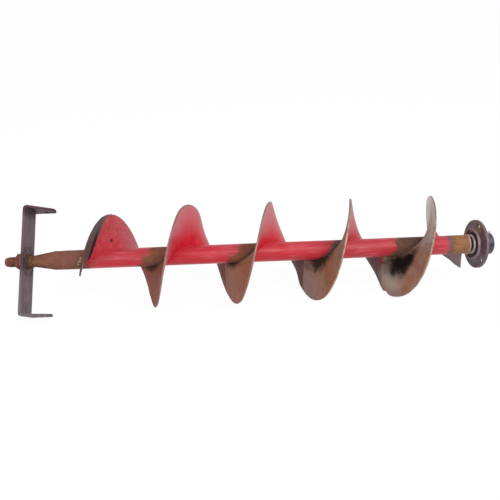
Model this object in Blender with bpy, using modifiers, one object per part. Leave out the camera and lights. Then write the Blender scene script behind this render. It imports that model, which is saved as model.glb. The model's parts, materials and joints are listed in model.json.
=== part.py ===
"""Conveying auger from a farm machine, lying on its flights.

A painted tube carries left-hand flighting made of one-turn sections. At the intake end a
tapered stub shaft runs in a bush in a U-shaped hanger strap, held by a nut. At the drive end
a plain stub shaft runs in a self-aligning ball bearing in a two-piece pressed flange.

The auger's axis lies along +X, and the lowest edge of the flights touches z = 0.
Stations are measured along the axis from the intake end of the tube.
"""
import math

import bmesh
import bpy
from mathutils import Vector

MM = 0.001

# Clearances
seat_gap = 0.3 * MM
running_gap = 0.35 * MM
flight_root_gap = 0.4 * MM
floor_gap = 1.0 * MM

# Tube
tube_length = 1015.0 * MM
tube_od = 47.6 * MM
tube_wall = 4.8 * MM

# Flighting: left-hand, one full turn to a section, counted back from the drive end
flight_od = 254.0 * MM
flight_pitch = 203.2 * MM
flight_thickness = 4.0 * MM
flight_sections = 5
first_section_sweep = 294.0
flight_end_setback = 5.0 * MM
flight_end_angle = 264.7
section_joint_gap = 0.7
facet_angle = 7.5

# The intake nose is cut back and worn, and the drive end is trimmed to clear the flange
nose_radius = 50.0 * MM
nose_ramp = (40.0, 138.0)
nose_wear = 30.0 * MM
nose_wear_sweep = 327.0
nose_bend = 14.0 * MM
nose_bend_sweep = 100.0
tail_radius = 70.0 * MM
tail_ramp = (78.0, 18.0)
tail_skew = 6.0

# Knocks that bent the outer edge along the axis: sweep at the middle, half width, shift
flight_bends = (
    (558.0, 52.0, -10.0 * MM),
    (908.0, 55.0, -7.0 * MM),
    (983.0, 25.0, 7.0 * MM),
    (1351.0, 45.0, 16.0 * MM),
)

# Intake stub shaft
intake_land = 20.0 * MM
intake_cone = 54.0 * MM
journal_d = 25.4 * MM
intake_cone_small_d = journal_d + 2.2 * MM
journal_length = 69.0 * MM
journal_round = 5.0 * MM
plug_length = 60.0 * MM

# Hanger strap
strap_length = 274.0 * MM
strap_width = 63.5 * MM
strap_thickness = 6.35 * MM
strap_leg = 61.0 * MM
strap_tip_width = 20.0 * MM
strap_bend_radius = 6.0 * MM
strap_hole_d = 11.0 * MM
strap_hole_from_tip = 24.0 * MM
strap_station = -87.6 * MM

# Bush, its housing, washer and nut
bush_od = journal_d + 6.6 * MM
boss_od = bush_od + 8.0 * MM
boss_proud = 5.6 * MM
boss_flange_od = boss_od + 10.0 * MM
boss_flange = 6.4 * MM
washer_od = 36.0 * MM
washer_thickness = 3.0 * MM
nut_across_flats = 34.9 * MM
nut_height = 9.5 * MM
nut_turn = 12.0

# Drive stub shaft
drive_shoulder_d = 43.0 * MM
drive_shoulder = 4.0 * MM
drive_shaft_d = 34.9 * MM
drive_shaft_end = 58.0 * MM

# Bearing, centred on its own plane at a distance from the drive end of the tube
bearing_offset = 25.0 * MM
ring_sphere_d = 72.0 * MM
ring_width = 17.0 * MM
outer_ring_bore = 63.2 * MM
inner_ring_od = 48.8 * MM
inner_ring_back = 15.5 * MM
inner_ring_front = 12.0 * MM
cam_d = 42.0 * MM
cam_length = 8.0 * MM
ball_d = 10.5 * MM
ball_count = 9
cage_thickness = 2.6 * MM
cage_width = 13.0 * MM
seal_thickness = 1.0 * MM
seal_inset = 0.6 * MM
collar_od = 55.0 * MM
collar_end = 35.0 * MM
collar_edge = 1.5 * MM
set_screw_d = 8.0 * MM
set_screw_socket = 4.0 * MM
set_screw_angle = 20.0

# Pressed flange halves
flange_od = 123.0 * MM
flange_sheet = 2.8 * MM
flange_bolt_circle = 98.0 * MM
flange_bolt_hole = 10.4 * MM
flange_bolts = 3
flange_bolt_angle = -29.3
flange_flat_bore = 85.0 * MM
seat_half_angle = 18.0
seat_root_angle = 8.0

# Grease fitting on the outer flange half
fitting_angle = 68.0
fitting_seat_angle = 13.0
fitting_lean = 50.0
fitting_length = 16.0 * MM
fitting_hex = 7.0 * MM
fitting_hex_height = 4.0 * MM
fitting_thread_d = 5.0 * MM
fitting_neck_d = 4.2 * MM
fitting_head = 4.0 * MM
fitting_head_d = 5.6 * MM

# Facets: round a turned piece, along an arc, and shares across a flight and along a strap leg
turned_steps = 36
small_steps = 12
bend_steps = 3
groove_steps = 6
sphere_steps = 4
ball_segments = (10, 6)
flight_columns = (0.0, 0.5, 1.0)
strap_leg_rows = (0.5, 0.9, 1.0)

# Values that follow from the sizes above
tube_r = tube_od / 2
tube_bore_r = tube_r - tube_wall
flight_r = flight_od / 2
flight_sweep = first_section_sweep + 360.0 * (flight_sections - 1)
flight_start_angle = flight_end_angle - flight_sweep
flight_end_station = tube_length - flight_end_setback
axis_height = flight_r * math.cos(math.radians(facet_angle / 2))
left_end = -(intake_land + intake_cone + journal_length)
bearing_station = tube_length + bearing_offset
right_end = bearing_station + collar_end
axis_centre = (left_end + right_end) / 2
strap_outer = strap_station - strap_thickness
boss_outer = strap_outer - seat_gap - boss_flange
bush_inner_end = -(intake_land + intake_cone) - seat_gap
bush_bore_r = journal_d / 2 + running_gap
nut_bore_r = journal_d / 2 + seat_gap
washer_outer = boss_outer - seat_gap - washer_thickness
nut_outer = washer_outer - seat_gap - nut_height
ball_pitch_r = (outer_ring_bore + inner_ring_od) / 4
groove_r = ball_d / 2 + seat_gap


def strap_lean():
    """Angle from upright at which the strap's lowest corner comes down to the floor."""
    half = Vector((strap_length / 2, strap_width / 2))
    corner = math.atan2(half.y, half.x)
    reach = (axis_height - floor_gap) / half.length
    return corner + math.acos(min(1.0, reach))


def remove_scene_objects():
    for obj in list(bpy.data.objects):
        bpy.data.objects.remove(obj)


def new_collection(name):
    collection = bpy.data.collections.new(name)
    bpy.context.scene.collection.children.link(collection)
    return collection


def linear_channel(value):
    return value / 12.92 if value <= 0.04045 else ((value + 0.055) / 1.055) ** 2.4


def make_material(name, colour, roughness, metallic):
    channels = [int(colour[i:i + 2], 16) / 255 for i in (1, 3, 5)]
    rgba = [linear_channel(c) for c in channels] + [1.0]
    material = bpy.data.materials.new(name)
    material.use_nodes = True
    shader = material.node_tree.nodes["Principled BSDF"]
    shader.inputs["Base Color"].default_value = rgba
    shader.inputs["Roughness"].default_value = roughness
    shader.inputs["Metallic"].default_value = metallic
    return material


def axis_empty(name, location, parent=None, turn=0.0):
    """Empty whose local +Z is the auger's axis; children are turned about it."""
    empty = bpy.data.objects.new(name, None)
    parts.objects.link(empty)
    empty.location = location
    if parent is None:
        empty.rotation_euler = (0.0, math.pi / 2, 0.0)
    else:
        empty.parent = parent
        empty.rotation_euler = (0.0, 0.0, turn)
    return empty


def place(name, mesh, parent, material=None):
    """Object for a mesh: a part when it has a material, otherwise a cutter."""
    obj = bpy.data.objects.new(name, mesh)
    obj.parent = parent
    if material is None:
        cutters.objects.link(obj)
        obj.hide_render = True
        obj.display_type = "WIRE"
    else:
        parts.objects.link(obj)
        mesh.materials.append(material)
        mesh.shade_smooth()
    return obj


def turned(name, profile, parent, material, closed=False, steps=turned_steps):
    """Turn a profile of (station, radius) points, listed by rising station on its outer side."""
    points = list(reversed(profile))
    count = len(points)
    edges = [(i, i + 1) for i in range(count - 1)]
    if closed:
        edges.append((count - 1, 0))
    mesh = bpy.data.meshes.new(name)
    mesh.from_pydata([(radius, 0.0, station) for station, radius in points], edges, [])
    obj = place(name, mesh, parent, material)
    screw = obj.modifiers.new("turn", "SCREW")
    screw.axis = "Z"
    screw.angle = 2 * math.pi
    screw.steps = steps
    screw.render_steps = steps
    screw.use_merge_vertices = True
    screw.merge_threshold = 0.00001
    return obj


def ring(name, start, end, inner_r, outer_r, parent, material, steps=turned_steps):
    """Plain ring between two stations."""
    profile = [(start, inner_r), (start, outer_r), (end, outer_r), (end, inner_r)]
    return turned(name, profile, parent, material, closed=True, steps=steps)


def cylinder_mesh(name, radius, start, end, segments, spots=((0.0, 0.0),)):
    """Upright cylinders along local Z at the given (x, y) spots, in one mesh."""
    mesh = bpy.data.meshes.new(name)
    bm = bmesh.new()
    for x, y in spots:
        made = bmesh.ops.create_cone(
            bm, cap_ends=True, segments=segments, radius1=radius, radius2=radius, depth=end - start
        )
        bmesh.ops.translate(bm, verts=made["verts"], vec=(x, y, (start + end) / 2))
    bm.to_mesh(mesh)
    bm.free()
    return mesh


def cut(obj, cutter):
    boolean = obj.modifiers.new(cutter.name, "BOOLEAN")
    boolean.operation = "DIFFERENCE"
    boolean.solver = "EXACT"
    boolean.object = cutter


def point_local_z(obj, direction):
    obj.rotation_euler = Vector(direction).to_track_quat("Z", "Y").to_euler()


def radial(angle):
    """Unit vector across the axis in an axis empty: 0 faces -Y, 90 faces up, in degrees."""
    turn = math.radians(angle)
    return Vector((-math.sin(turn), -math.cos(turn), 0.0))


def smooth_step(value):
    value = min(1.0, max(0.0, value))
    return value * value * (3 - 2 * value)


# Auger: tube and flighting

def make_tube():
    ring("auger_tube", 0.0, tube_length, tube_bore_r, tube_r, auger_axis, red_paint)


def flight_station(sweep):
    """Station of the flight at a sweep in degrees from its nose; the nose itself is bent back."""
    bend = nose_bend * max(0.0, 1.0 - sweep / nose_bend_sweep) ** 2
    return flight_end_station - flight_pitch * (flight_sweep - sweep) / 360.0 + bend


def flight_edge_shift(sweep):
    """Shift of the outer edge along the axis where the flight has been knocked."""
    shift = 0.0
    for middle, half_width, amount in flight_bends:
        shift += amount * smooth_step(1.0 - abs(sweep - middle) / half_width)
    return shift


def flight_outer_radius(sweep):
    worn = flight_r - nose_wear * max(0.0, 1.0 - sweep / nose_wear_sweep)
    nose = smooth_step((sweep - nose_ramp[0]) / (nose_ramp[1] - nose_ramp[0]))
    left = flight_sweep - sweep
    tail = smooth_step((left - tail_ramp[1]) / (tail_ramp[0] - tail_ramp[1]))
    from_nose = nose_radius + (worn - nose_radius) * nose
    from_tail = tail_radius + (flight_r - tail_radius) * tail
    return min(from_nose, from_tail)


def flight_sweeps(start, end):
    """Sweeps of one section's rows, on facets that are the same in every turn."""
    offset = facet_angle / 2 - flight_start_angle
    first = math.ceil((start - offset) / facet_angle + 0.2)
    last = math.floor((end - offset) / facet_angle - 0.2)
    return [start] + [offset + i * facet_angle for i in range(first, last + 1)] + [end]


def flight_point(sweep, share):
    """Point on the flight at a sweep and a share of the way from the tube to its outer edge."""
    root = tube_r + flight_root_gap
    radius = root + (flight_outer_radius(sweep) - root) * share
    station = flight_edge_shift(sweep) * share ** 2
    if sweep == flight_sweep:
        sweep += tail_skew * share
    station += flight_station(sweep)
    return radial(flight_start_angle + sweep) * radius + Vector((0.0, 0.0, station))


def make_flight_section(index):
    """One section: a helical sheet from the tube to the outer edge, thickened both ways."""
    end = first_section_sweep + 360.0 * index
    start = max(0.0, end - 360.0)
    if index > 0:
        start += section_joint_gap
    rows = [[flight_point(sweep, share) for share in flight_columns] for sweep in flight_sweeps(start, end)]
    columns = len(flight_columns)
    verts = [point for row in rows for point in row]
    faces = []
    for i in range(len(rows) - 1):
        for j in range(columns - 1):
            a = i * columns + j
            faces.append((a, a + 1, a + columns + 1, a + columns))
    name = f"flight_section_{index + 1}"
    mesh = bpy.data.meshes.new(name)
    mesh.from_pydata(verts, [], faces)
    obj = place(name, mesh, auger_axis, red_paint)
    sheet = obj.modifiers.new("sheet", "SOLIDIFY")
    sheet.thickness = flight_thickness
    sheet.offset = 0.0


# Intake end: stub shaft, bush, strap and nut

def make_intake_stub():
    journal_r = journal_d / 2
    plug_r = tube_bore_r - seat_gap
    cone_start = -(intake_land + intake_cone)
    corner = journal_round * (1 - math.cos(math.pi / 4))
    profile = [
        (left_end, 0.0),
        (left_end, journal_r - journal_round),
        (left_end + corner, journal_r - corner),
        (left_end + journal_round, journal_r),
        (cone_start, journal_r),
        (cone_start, intake_cone_small_d / 2),
        (-intake_land, tube_r),
        (-seat_gap, tube_r),
        (-seat_gap, plug_r),
        (plug_length, plug_r),
        (plug_length, 0.0),
    ]
    turned("intake_stub_shaft", profile, auger_axis, rusty_steel)


def make_nut_and_washer():
    ring("thrust_washer", washer_outer, washer_outer + washer_thickness, nut_bore_r, washer_od / 2,
         auger_axis, rusty_steel)
    corner_r = nut_across_flats / 2 / math.cos(math.pi / 6)
    mesh = cylinder_mesh("shaft_nut", corner_r, nut_outer, nut_outer + nut_height, 6)
    nut = place("shaft_nut", mesh, auger_axis, rusty_steel)
    nut.rotation_euler = (0.0, 0.0, math.radians(nut_turn))
    bore = place("nut_bore", cylinder_mesh("nut_bore", nut_bore_r, nut_outer - seat_gap,
                                           nut_outer + nut_height + seat_gap, turned_steps), auger_axis)
    cut(nut, bore)


def make_bush_and_housing():
    bush_r = bush_od / 2
    ring("bronze_bush", boss_outer, bush_inner_end, bush_bore_r, bush_r, bracket_axis, bronze)
    flange_face = boss_outer + boss_flange
    bore_r = bush_r + seat_gap
    profile = [
        (boss_outer, bore_r),
        (boss_outer, boss_flange_od / 2),
        (flange_face, boss_flange_od / 2),
        (flange_face, boss_od / 2),
        (strap_station + boss_proud, boss_od / 2),
        (strap_station + boss_proud, bore_r),
    ]
    turned("bush_housing", profile, bracket_axis, dark_steel, closed=True)


def strap_edge(distance):
    """Near and far edge of the strap at a distance along its leg, measured from the bend."""
    half = strap_width / 2
    taper = max(0.0, distance) / (strap_leg - strap_bend_radius)
    near = half - (strap_width - strap_tip_width) * taper
    return near, -half


def strap_half_path():
    """Mid-thickness points of half the strap from its middle to a leg's tip: (along, station, leg)."""
    mid = strap_station - strap_thickness / 2
    reach = strap_length / 2 - strap_thickness / 2
    bend = strap_bend_radius
    points = [(0.0, mid, 0.0), (reach - bend, mid, 0.0)]
    for step in range(1, bend_steps + 1):
        turn = math.pi / 2 * step / bend_steps
        points.append((reach - bend + bend * math.sin(turn), mid + bend * (1 - math.cos(turn)), 0.0))
    straight = strap_leg - strap_thickness / 2 - bend
    for share in strap_leg_rows:
        points.append((reach, mid + bend + straight * share, straight * share))
    return points


def make_strap():
    half = strap_half_path()
    path = [(-along, station, leg) for along, station, leg in reversed(half[1:])] + half
    verts = []
    for along, station, leg in path:
        near, far = strap_edge(leg)
        verts += [(-along, -near, station), (-along, -far, station)]
    faces = [(2 * i, 2 * i + 1, 2 * i + 3, 2 * i + 2) for i in range(len(path) - 1)]
    mesh = bpy.data.meshes.new("hanger_strap")
    mesh.from_pydata(verts, [], faces)
    strap = place("hanger_strap", mesh, bracket_axis, dark_steel)
    sheet = strap.modifiers.new("sheet", "SOLIDIFY")
    sheet.thickness = strap_thickness
    sheet.offset = 0.0
    sheet.use_even_offset = True
    boss_hole = place("strap_boss_hole", cylinder_mesh(
        "strap_boss_hole", boss_od / 2 + seat_gap, strap_outer - strap_thickness,
        strap_station + strap_thickness, turned_steps), bracket_axis)
    cut(strap, boss_hole)
    leg_end = strap_outer + strap_leg
    hole_station = leg_end - strap_hole_from_tip
    leg_hole = place("strap_leg_holes", cylinder_mesh(
        "strap_leg_holes", strap_hole_d / 2, -strap_length, strap_length, small_steps), bracket_axis)
    leg_hole.location = (0.0, strap_width / 2 - strap_tip_width / 2 - strap_thickness / 2, hole_station)
    point_local_z(leg_hole, (1.0, 0.0, 0.0))
    cut(strap, leg_hole)


# Drive end: stub shaft, bearing, collar and flange

def make_drive_stub():
    shaft_r = drive_shaft_d / 2
    plug_r = tube_bore_r - seat_gap
    shoulder_start = tube_length + seat_gap
    shoulder_end = shoulder_start + drive_shoulder
    end = tube_length + drive_shaft_end
    edge = drive_shoulder / 2
    profile = [
        (tube_length - plug_length, 0.0),
        (tube_length - plug_length, plug_r),
        (shoulder_start, plug_r),
        (shoulder_start, drive_shoulder_d / 2),
        (shoulder_end - edge, drive_shoulder_d / 2),
        (shoulder_end, drive_shoulder_d / 2 - edge),
        (shoulder_end, shaft_r),
        (end - edge, shaft_r),
        (end, shaft_r - edge),
        (end, 0.0),
    ]
    turned("drive_stub_shaft", profile, auger_axis, rusty_steel)


def groove(side, lip_r):
    """Ball groove from low to high station: side +1 for the outer ring, -1 for the inner."""
    half = math.sqrt(groove_r ** 2 - (lip_r - ball_pitch_r) ** 2)
    offsets = [-half + 2 * half * i / groove_steps for i in range(groove_steps + 1)]
    return [(x, ball_pitch_r + side * math.sqrt(groove_r ** 2 - x * x)) for x in offsets]


def make_rings():
    sphere_r = ring_sphere_d / 2
    half = ring_width / 2
    bore_r = outer_ring_bore / 2
    offsets = [-half + ring_width * i / sphere_steps for i in range(sphere_steps + 1)]
    outside = [(x, math.sqrt(sphere_r ** 2 - x * x)) for x in offsets]
    inside = [(half, bore_r)] + list(reversed(groove(1, bore_r))) + [(-half, bore_r)]
    turned("bearing_outer_ring", outside + inside, bearing_axis, bearing_steel, closed=True)

    shaft_bore_r = drive_shaft_d / 2 + seat_gap
    land_r = inner_ring_od / 2
    cam_end = inner_ring_front + cam_length
    profile = [(-inner_ring_back, shaft_bore_r), (-inner_ring_back, land_r)]
    profile += groove(-1, land_r)
    profile += [(inner_ring_front, land_r), (inner_ring_front, cam_d / 2)]
    profile += [(cam_end, cam_d / 2), (cam_end, shaft_bore_r)]
    turned("bearing_inner_ring", profile, bearing_axis, bearing_steel, closed=True)


def make_balls_and_cage():
    cage = ring("ball_cage", -cage_width / 2, cage_width / 2, ball_pitch_r - cage_thickness / 2,
                ball_pitch_r + cage_thickness / 2, bearing_axis, pressed_steel)
    for i in range(ball_count):
        across = radial(360.0 * i / ball_count)
        mesh = bpy.data.meshes.new("bearing_ball")
        bm = bmesh.new()
        bmesh.ops.create_uvsphere(
            bm, u_segments=ball_segments[0], v_segments=ball_segments[1], radius=ball_d / 2
        )
        bm.to_mesh(mesh)
        bm.free()
        ball = place(f"bearing_ball_{i + 1}", mesh, bearing_axis, bearing_steel)
        ball.location = across * ball_pitch_r
        pocket = place(f"ball_pocket_{i + 1}", cylinder_mesh(
            "ball_pocket", ball_d / 2 + running_gap, -ball_d / 2, ball_d / 2, small_steps), bearing_axis)
        pocket.location = across * ball_pitch_r
        point_local_z(pocket, across)
        cut(cage, pocket)


def make_seals():
    outer_end = ring_width / 2 - seal_inset
    inner_r = inner_ring_od / 2 + running_gap
    outer_r = outer_ring_bore / 2 - seat_gap
    ring("inner_seal", -outer_end, -outer_end + seal_thickness, inner_r, outer_r, bearing_axis, seal_rubber)
    ring("outer_seal", outer_end - seal_thickness, outer_end, inner_r, outer_r, bearing_axis, seal_rubber)


def make_locking_collar():
    start = inner_ring_front + seat_gap
    cam_end = inner_ring_front + cam_length + seat_gap
    bore_r = drive_shaft_d / 2 + seat_gap
    outer_r = collar_od / 2
    edge = collar_edge
    profile = [
        (cam_end, bore_r),
        (cam_end, cam_d / 2 + seat_gap),
        (start, cam_d / 2 + seat_gap),
        (start, outer_r),
        (collar_end - edge, outer_r),
        (collar_end, outer_r - edge),
        (collar_end, bore_r),
    ]
    collar = turned("locking_collar", profile, bearing_axis, dark_steel, closed=True)
    middle = (cam_end + collar_end) / 2
    across = radial(set_screw_angle)
    inner_end = bore_r
    hole = place("set_screw_hole", cylinder_mesh(
        "set_screw_hole", set_screw_d / 2 + seat_gap, inner_end - edge, collar_od, small_steps),
        bearing_axis)
    hole.location = (0.0, 0.0, middle)
    point_local_z(hole, across)
    cut(collar, hole)
    screw_end = outer_r - edge
    screw = place("collar_set_screw", cylinder_mesh(
        "collar_set_screw", set_screw_d / 2, inner_end, screw_end, small_steps), bearing_axis, dark_steel)
    screw.location = (0.0, 0.0, middle)
    point_local_z(screw, across)
    socket = place("set_screw_socket", cylinder_mesh(
        "set_screw_socket", set_screw_socket / 2, (inner_end + screw_end) / 2, collar_od, 6), bearing_axis)
    socket.location = (0.0, 0.0, middle)
    point_local_z(socket, across)
    cut(screw, socket)


def flange_profile(side):
    """Mid-sheet line of a flange half from its rim to the lip of its seat: side +1 or -1."""
    flat = side * (seat_gap / 2 + flange_sheet / 2)
    sheet_r = ring_sphere_d / 2 + seat_gap + flange_sheet / 2
    line = [(flat, flange_od / 2), (flat, (flange_od + flange_flat_bore) / 4), (flat, flange_flat_bore / 2)]
    for i in range(bend_steps + 1):
        lean = math.radians(seat_root_angle + (seat_half_angle - seat_root_angle) * i / bend_steps)
        line.append((side * sheet_r * math.sin(lean), sheet_r * math.cos(lean)))
    return line


def make_flange_half(name, side):
    line = flange_profile(side)
    half = turned(name, line if side > 0 else line[::-1], flange_axis, dark_steel)
    sheet = half.modifiers.new("sheet", "SOLIDIFY")
    sheet.thickness = flange_sheet
    sheet.offset = 0.0
    cut(half, bolt_holes)
    return half


def make_bolt_holes():
    spots = []
    for i in range(flange_bolts):
        across = radial(flange_bolt_angle + 360.0 * i / flange_bolts) * flange_bolt_circle / 2
        spots.append((across.x, across.y))
    reach = 3 * flange_sheet
    mesh = cylinder_mesh("flange_bolt_holes", flange_bolt_hole / 2, -reach, reach, small_steps, spots)
    return place("flange_bolt_holes", mesh, flange_axis)


def make_grease_fitting(half):
    """Fitting screwed into the seat of the outer half, leaning out past the flange."""
    across = radial(fitting_angle)
    seat = math.radians(fitting_seat_angle)
    lean = math.radians(fitting_lean)
    sheet_r = ring_sphere_d / 2 + seat_gap + flange_sheet / 2
    root = across * sheet_r * math.cos(seat) + Vector((0.0, 0.0, sheet_r * math.sin(seat)))
    direction = across * math.cos(lean) + Vector((0.0, 0.0, math.sin(lean)))
    hole = place("fitting_hole", cylinder_mesh(
        "fitting_hole", fitting_thread_d / 2 + seat_gap, -2 * flange_sheet, 2 * flange_sheet, small_steps),
        flange_axis)
    hole.location = root
    point_local_z(hole, direction)
    cut(half, hole)
    thread_r = fitting_thread_d / 2
    hex_r = fitting_hex / 2
    hex_start = flange_sheet + seat_gap
    hex_end = hex_start + fitting_hex_height
    neck = fitting_length - fitting_head
    profile = [
        (0.0, 0.0),
        (0.0, thread_r),
        (hex_start, thread_r),
        (hex_start, hex_r),
        (hex_end, hex_r),
        (hex_end, thread_r),
        (neck, fitting_neck_d / 2),
        (neck + fitting_head / 3, fitting_head_d / 2),
        (neck + fitting_head * 2 / 3, fitting_head_d / 2),
        (fitting_length, fitting_neck_d / 4),
        (fitting_length, 0.0),
    ]
    fitting = turned("grease_fitting", profile, flange_axis, zinc_plate, steps=small_steps)
    fitting.location = root
    point_local_z(fitting, direction)


remove_scene_objects()
parts = new_collection("conveying_auger")
cutters = new_collection("cutters")

red_paint = make_material("worn_red_paint", "#B72C36", 0.45, 0.0)
rusty_steel = make_material("rusty_steel", "#7A4A38", 0.75, 0.3)
dark_steel = make_material("dark_oily_steel", "#4E4046", 0.6, 0.4)
bearing_steel = make_material("bearing_steel", "#B9A89A", 0.35, 1.0)
pressed_steel = make_material("pressed_cage_steel", "#9A9690", 0.4, 1.0)
bronze = make_material("sintered_bronze", "#9A7434", 0.5, 0.8)
seal_rubber = make_material("seal_rubber", "#1C1A1B", 0.7, 0.0)
zinc_plate = make_material("zinc_plated_steel", "#B9BCB4", 0.35, 1.0)

auger_axis = axis_empty("auger_axis", (-axis_centre, 0.0, axis_height))
bracket_axis = axis_empty("bracket_axis", (0.0, 0.0, 0.0), auger_axis, -strap_lean())
bearing_axis = axis_empty("bearing_axis", (0.0, 0.0, bearing_station), auger_axis)
flange_axis = axis_empty("flange_axis", (0.0, 0.0, 0.0), bearing_axis)

make_tube()
for section in range(flight_sections):
    make_flight_section(section)
make_intake_stub()
make_nut_and_washer()
make_bush_and_housing()
make_strap()
make_drive_stub()
make_rings()
make_balls_and_cage()
make_seals()
make_locking_collar()
bolt_holes = make_bolt_holes()
make_flange_half("inner_flange_half", -1)
outer_half = make_flange_half("outer_flange_half", 1)
make_grease_fitting(outer_half)
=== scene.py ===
"""Looks of a worn conveying auger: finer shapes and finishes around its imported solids.

Everything is in metres in the solids' own frame. The auger's axis runs along +X and the flights lie
on z = 0. A turn angle is measured about the axis in degrees: 0 faces -Y and 90 faces up.
"""
import functools
import json
import math

import bmesh
import bpy
from mathutils import Matrix, Vector


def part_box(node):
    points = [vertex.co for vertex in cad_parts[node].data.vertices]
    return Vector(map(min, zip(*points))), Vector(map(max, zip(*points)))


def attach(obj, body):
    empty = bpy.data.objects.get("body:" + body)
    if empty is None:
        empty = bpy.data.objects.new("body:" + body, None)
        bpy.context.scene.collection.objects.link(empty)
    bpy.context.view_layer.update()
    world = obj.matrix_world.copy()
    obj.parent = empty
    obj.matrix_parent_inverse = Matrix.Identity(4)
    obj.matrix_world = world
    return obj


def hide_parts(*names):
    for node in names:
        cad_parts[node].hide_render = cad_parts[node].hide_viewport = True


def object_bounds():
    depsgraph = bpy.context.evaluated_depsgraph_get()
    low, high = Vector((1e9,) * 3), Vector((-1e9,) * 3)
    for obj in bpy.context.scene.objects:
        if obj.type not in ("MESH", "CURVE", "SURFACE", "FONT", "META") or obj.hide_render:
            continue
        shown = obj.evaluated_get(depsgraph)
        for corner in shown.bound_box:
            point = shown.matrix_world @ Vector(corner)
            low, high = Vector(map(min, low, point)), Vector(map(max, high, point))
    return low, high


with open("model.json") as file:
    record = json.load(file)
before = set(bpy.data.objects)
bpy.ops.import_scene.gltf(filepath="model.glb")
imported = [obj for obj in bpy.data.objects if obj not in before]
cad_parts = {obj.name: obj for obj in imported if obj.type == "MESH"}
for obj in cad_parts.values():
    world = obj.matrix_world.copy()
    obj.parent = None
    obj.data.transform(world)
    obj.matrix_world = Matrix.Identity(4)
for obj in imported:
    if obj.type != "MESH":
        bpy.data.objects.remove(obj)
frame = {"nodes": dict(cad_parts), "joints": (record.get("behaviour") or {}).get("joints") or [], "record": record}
cad_low, cad_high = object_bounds()

MM = 0.001
merge_distance = 0.01 * MM
bevel_angle = math.radians(35.0)
sharp_angle = math.radians(38.0)

# Places taken from the frame
tube_low, tube_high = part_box("auger_tube")
tube_start = tube_low.x
tube_end = tube_high.x
tube_r = (tube_high.y - tube_low.y) / 2
axis_z = (tube_high.z + tube_low.z) / 2
bearing_x = next(j["pos_m"][0] for j in frame["joints"] if j["name"] == "bearing_spin")
upper_leg = next(m for m in frame["record"]["mounts"] if m["name"] == "strap_upper_leg_face")
strap_up = Vector(upper_leg["axis"]).normalized()
strap_side = Vector((0.0, strap_up.z, -strap_up.y))

# Flighting. A sweep is the angle from the nose along the flight; ramps and bends are placed by it
flight_r = 127.0 * MM
flight_pitch = 203.2 * MM
flight_thickness = 4.0 * MM
flight_sweep = 1734.0
first_section_sweep = 294.0
flight_sections = 5
flight_end_angle = 264.7
flight_end_x = tube_end - 5.0 * MM
flight_start_angle = flight_end_angle - flight_sweep
flight_root_r = tube_r - 0.6 * MM
section_gap = 0.5
edge_wear = 1.3 * MM
edge_round = 0.9 * MM
nose_radius = 45.6 * MM
nose_ramp = (-38.8, 150.2)
nose_wear = 49.2 * MM
nose_wear_sweep = 222.3
nose_bend = 14.0 * MM
nose_bend_sweep = 100.0
tail_radius = 70.0 * MM
tail_ramp = (18.0, 78.0)
tail_skew = 6.0
tail_skew_sweep = 8.0

# Bends knocked into the outer edge: middle sweep, half width in sweep, and how far along the axis
flight_bends = (
    (360.0, 120.0, 4.5 * MM),
    (484.0, 44.0, -2.5 * MM),
    (572.0, 44.0, -10.5 * MM),
    (690.0, 60.0, 2.5 * MM),
    (908.0, 55.0, -7.0 * MM),
    (983.0, 25.0, 7.0 * MM),
    (1215.0, 40.0, -2.0 * MM),
    (1351.0, 45.0, 16.0 * MM),
    (1580.0, 60.0, -2.5 * MM),
)
edge_notch = (1390.0, 8.0, 6.0 * MM)

# Tube and shafts
tube_bore_r = tube_r - 4.8 * MM
intake_land = 20.0 * MM
intake_cone = 54.0 * MM
cone_small_r = 13.8 * MM
land_r = tube_r - 0.4 * MM
journal_r = 12.7 * MM
thread_root_r = 11.5 * MM
thread_pitch = 3.2 * MM
thread_length = 40.0 * MM
drive_shaft_r = 17.45 * MM
drive_shoulder_r = 21.5 * MM
drive_shoulder = 4.3 * MM

# Nut, washer, bush and strap
nut_flat_r = 17.45 * MM
nut_corner_angle = -12.0
nut_bore_r = 13.0 * MM
washer_r = 18.0 * MM
bush_r = 16.0 * MM
boss_r = 20.0 * MM
boss_flange_r = 25.0 * MM
strap_length = 274.0 * MM
strap_width = 63.5 * MM
strap_thickness = 6.35 * MM
strap_leg = 61.0 * MM
strap_tip_width = 20.0 * MM
strap_tip_round = 7.0 * MM
strap_bend_radius = 6.0 * MM
strap_hole_r = 5.5 * MM
strap_hole_from_tip = 24.0 * MM

# Bearing, collar and flange
running_gap = 0.3 * MM
ring_sphere_r = 36.0 * MM
ring_half_width = 8.5 * MM
outer_ring_bore_r = 31.6 * MM
inner_ring_r = 24.4 * MM
inner_ring_back = 15.5 * MM
inner_ring_front = 12.0 * MM
inner_ring_bore_r = drive_shaft_r + 0.2 * MM
cam_r = 21.0 * MM
cam_length = 8.0 * MM
ball_r = 5.25 * MM
ball_pitch_r = (outer_ring_bore_r + inner_ring_r) / 2
ball_count = 9
collar_r = 27.5 * MM
screw_r = 4.0 * MM
screw_hole_r = 4.2 * MM
screw_socket_r = 2.3 * MM
screw_socket_depth = 4.0 * MM
screw_angle = 20.0
flange_r = 61.2 * MM
flange_sheet = 2.8 * MM
flange_seat_r = ring_sphere_r + running_gap + flange_sheet / 2
flange_flat_bore_r = 43.0 * MM
flange_bolt_circle_r = 49.0 * MM
flange_bolt_hole_r = 5.2 * MM
flange_bolt_flare = 1.5 * MM
flange_bolt_angle = -29.3
fitting_angle = 68.0
fitting_seat_angle = 13.0
fitting_lean = 50.0

# Camera of the photograph
camera_place = (-41.9 * MM, -1063.8 * MM, 709.1 * MM)
camera_turn = (61.64, 1.12, -2.69)
camera_lens = 34.7
sensor_width = 36.0


# Node and mesh helpers

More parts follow.
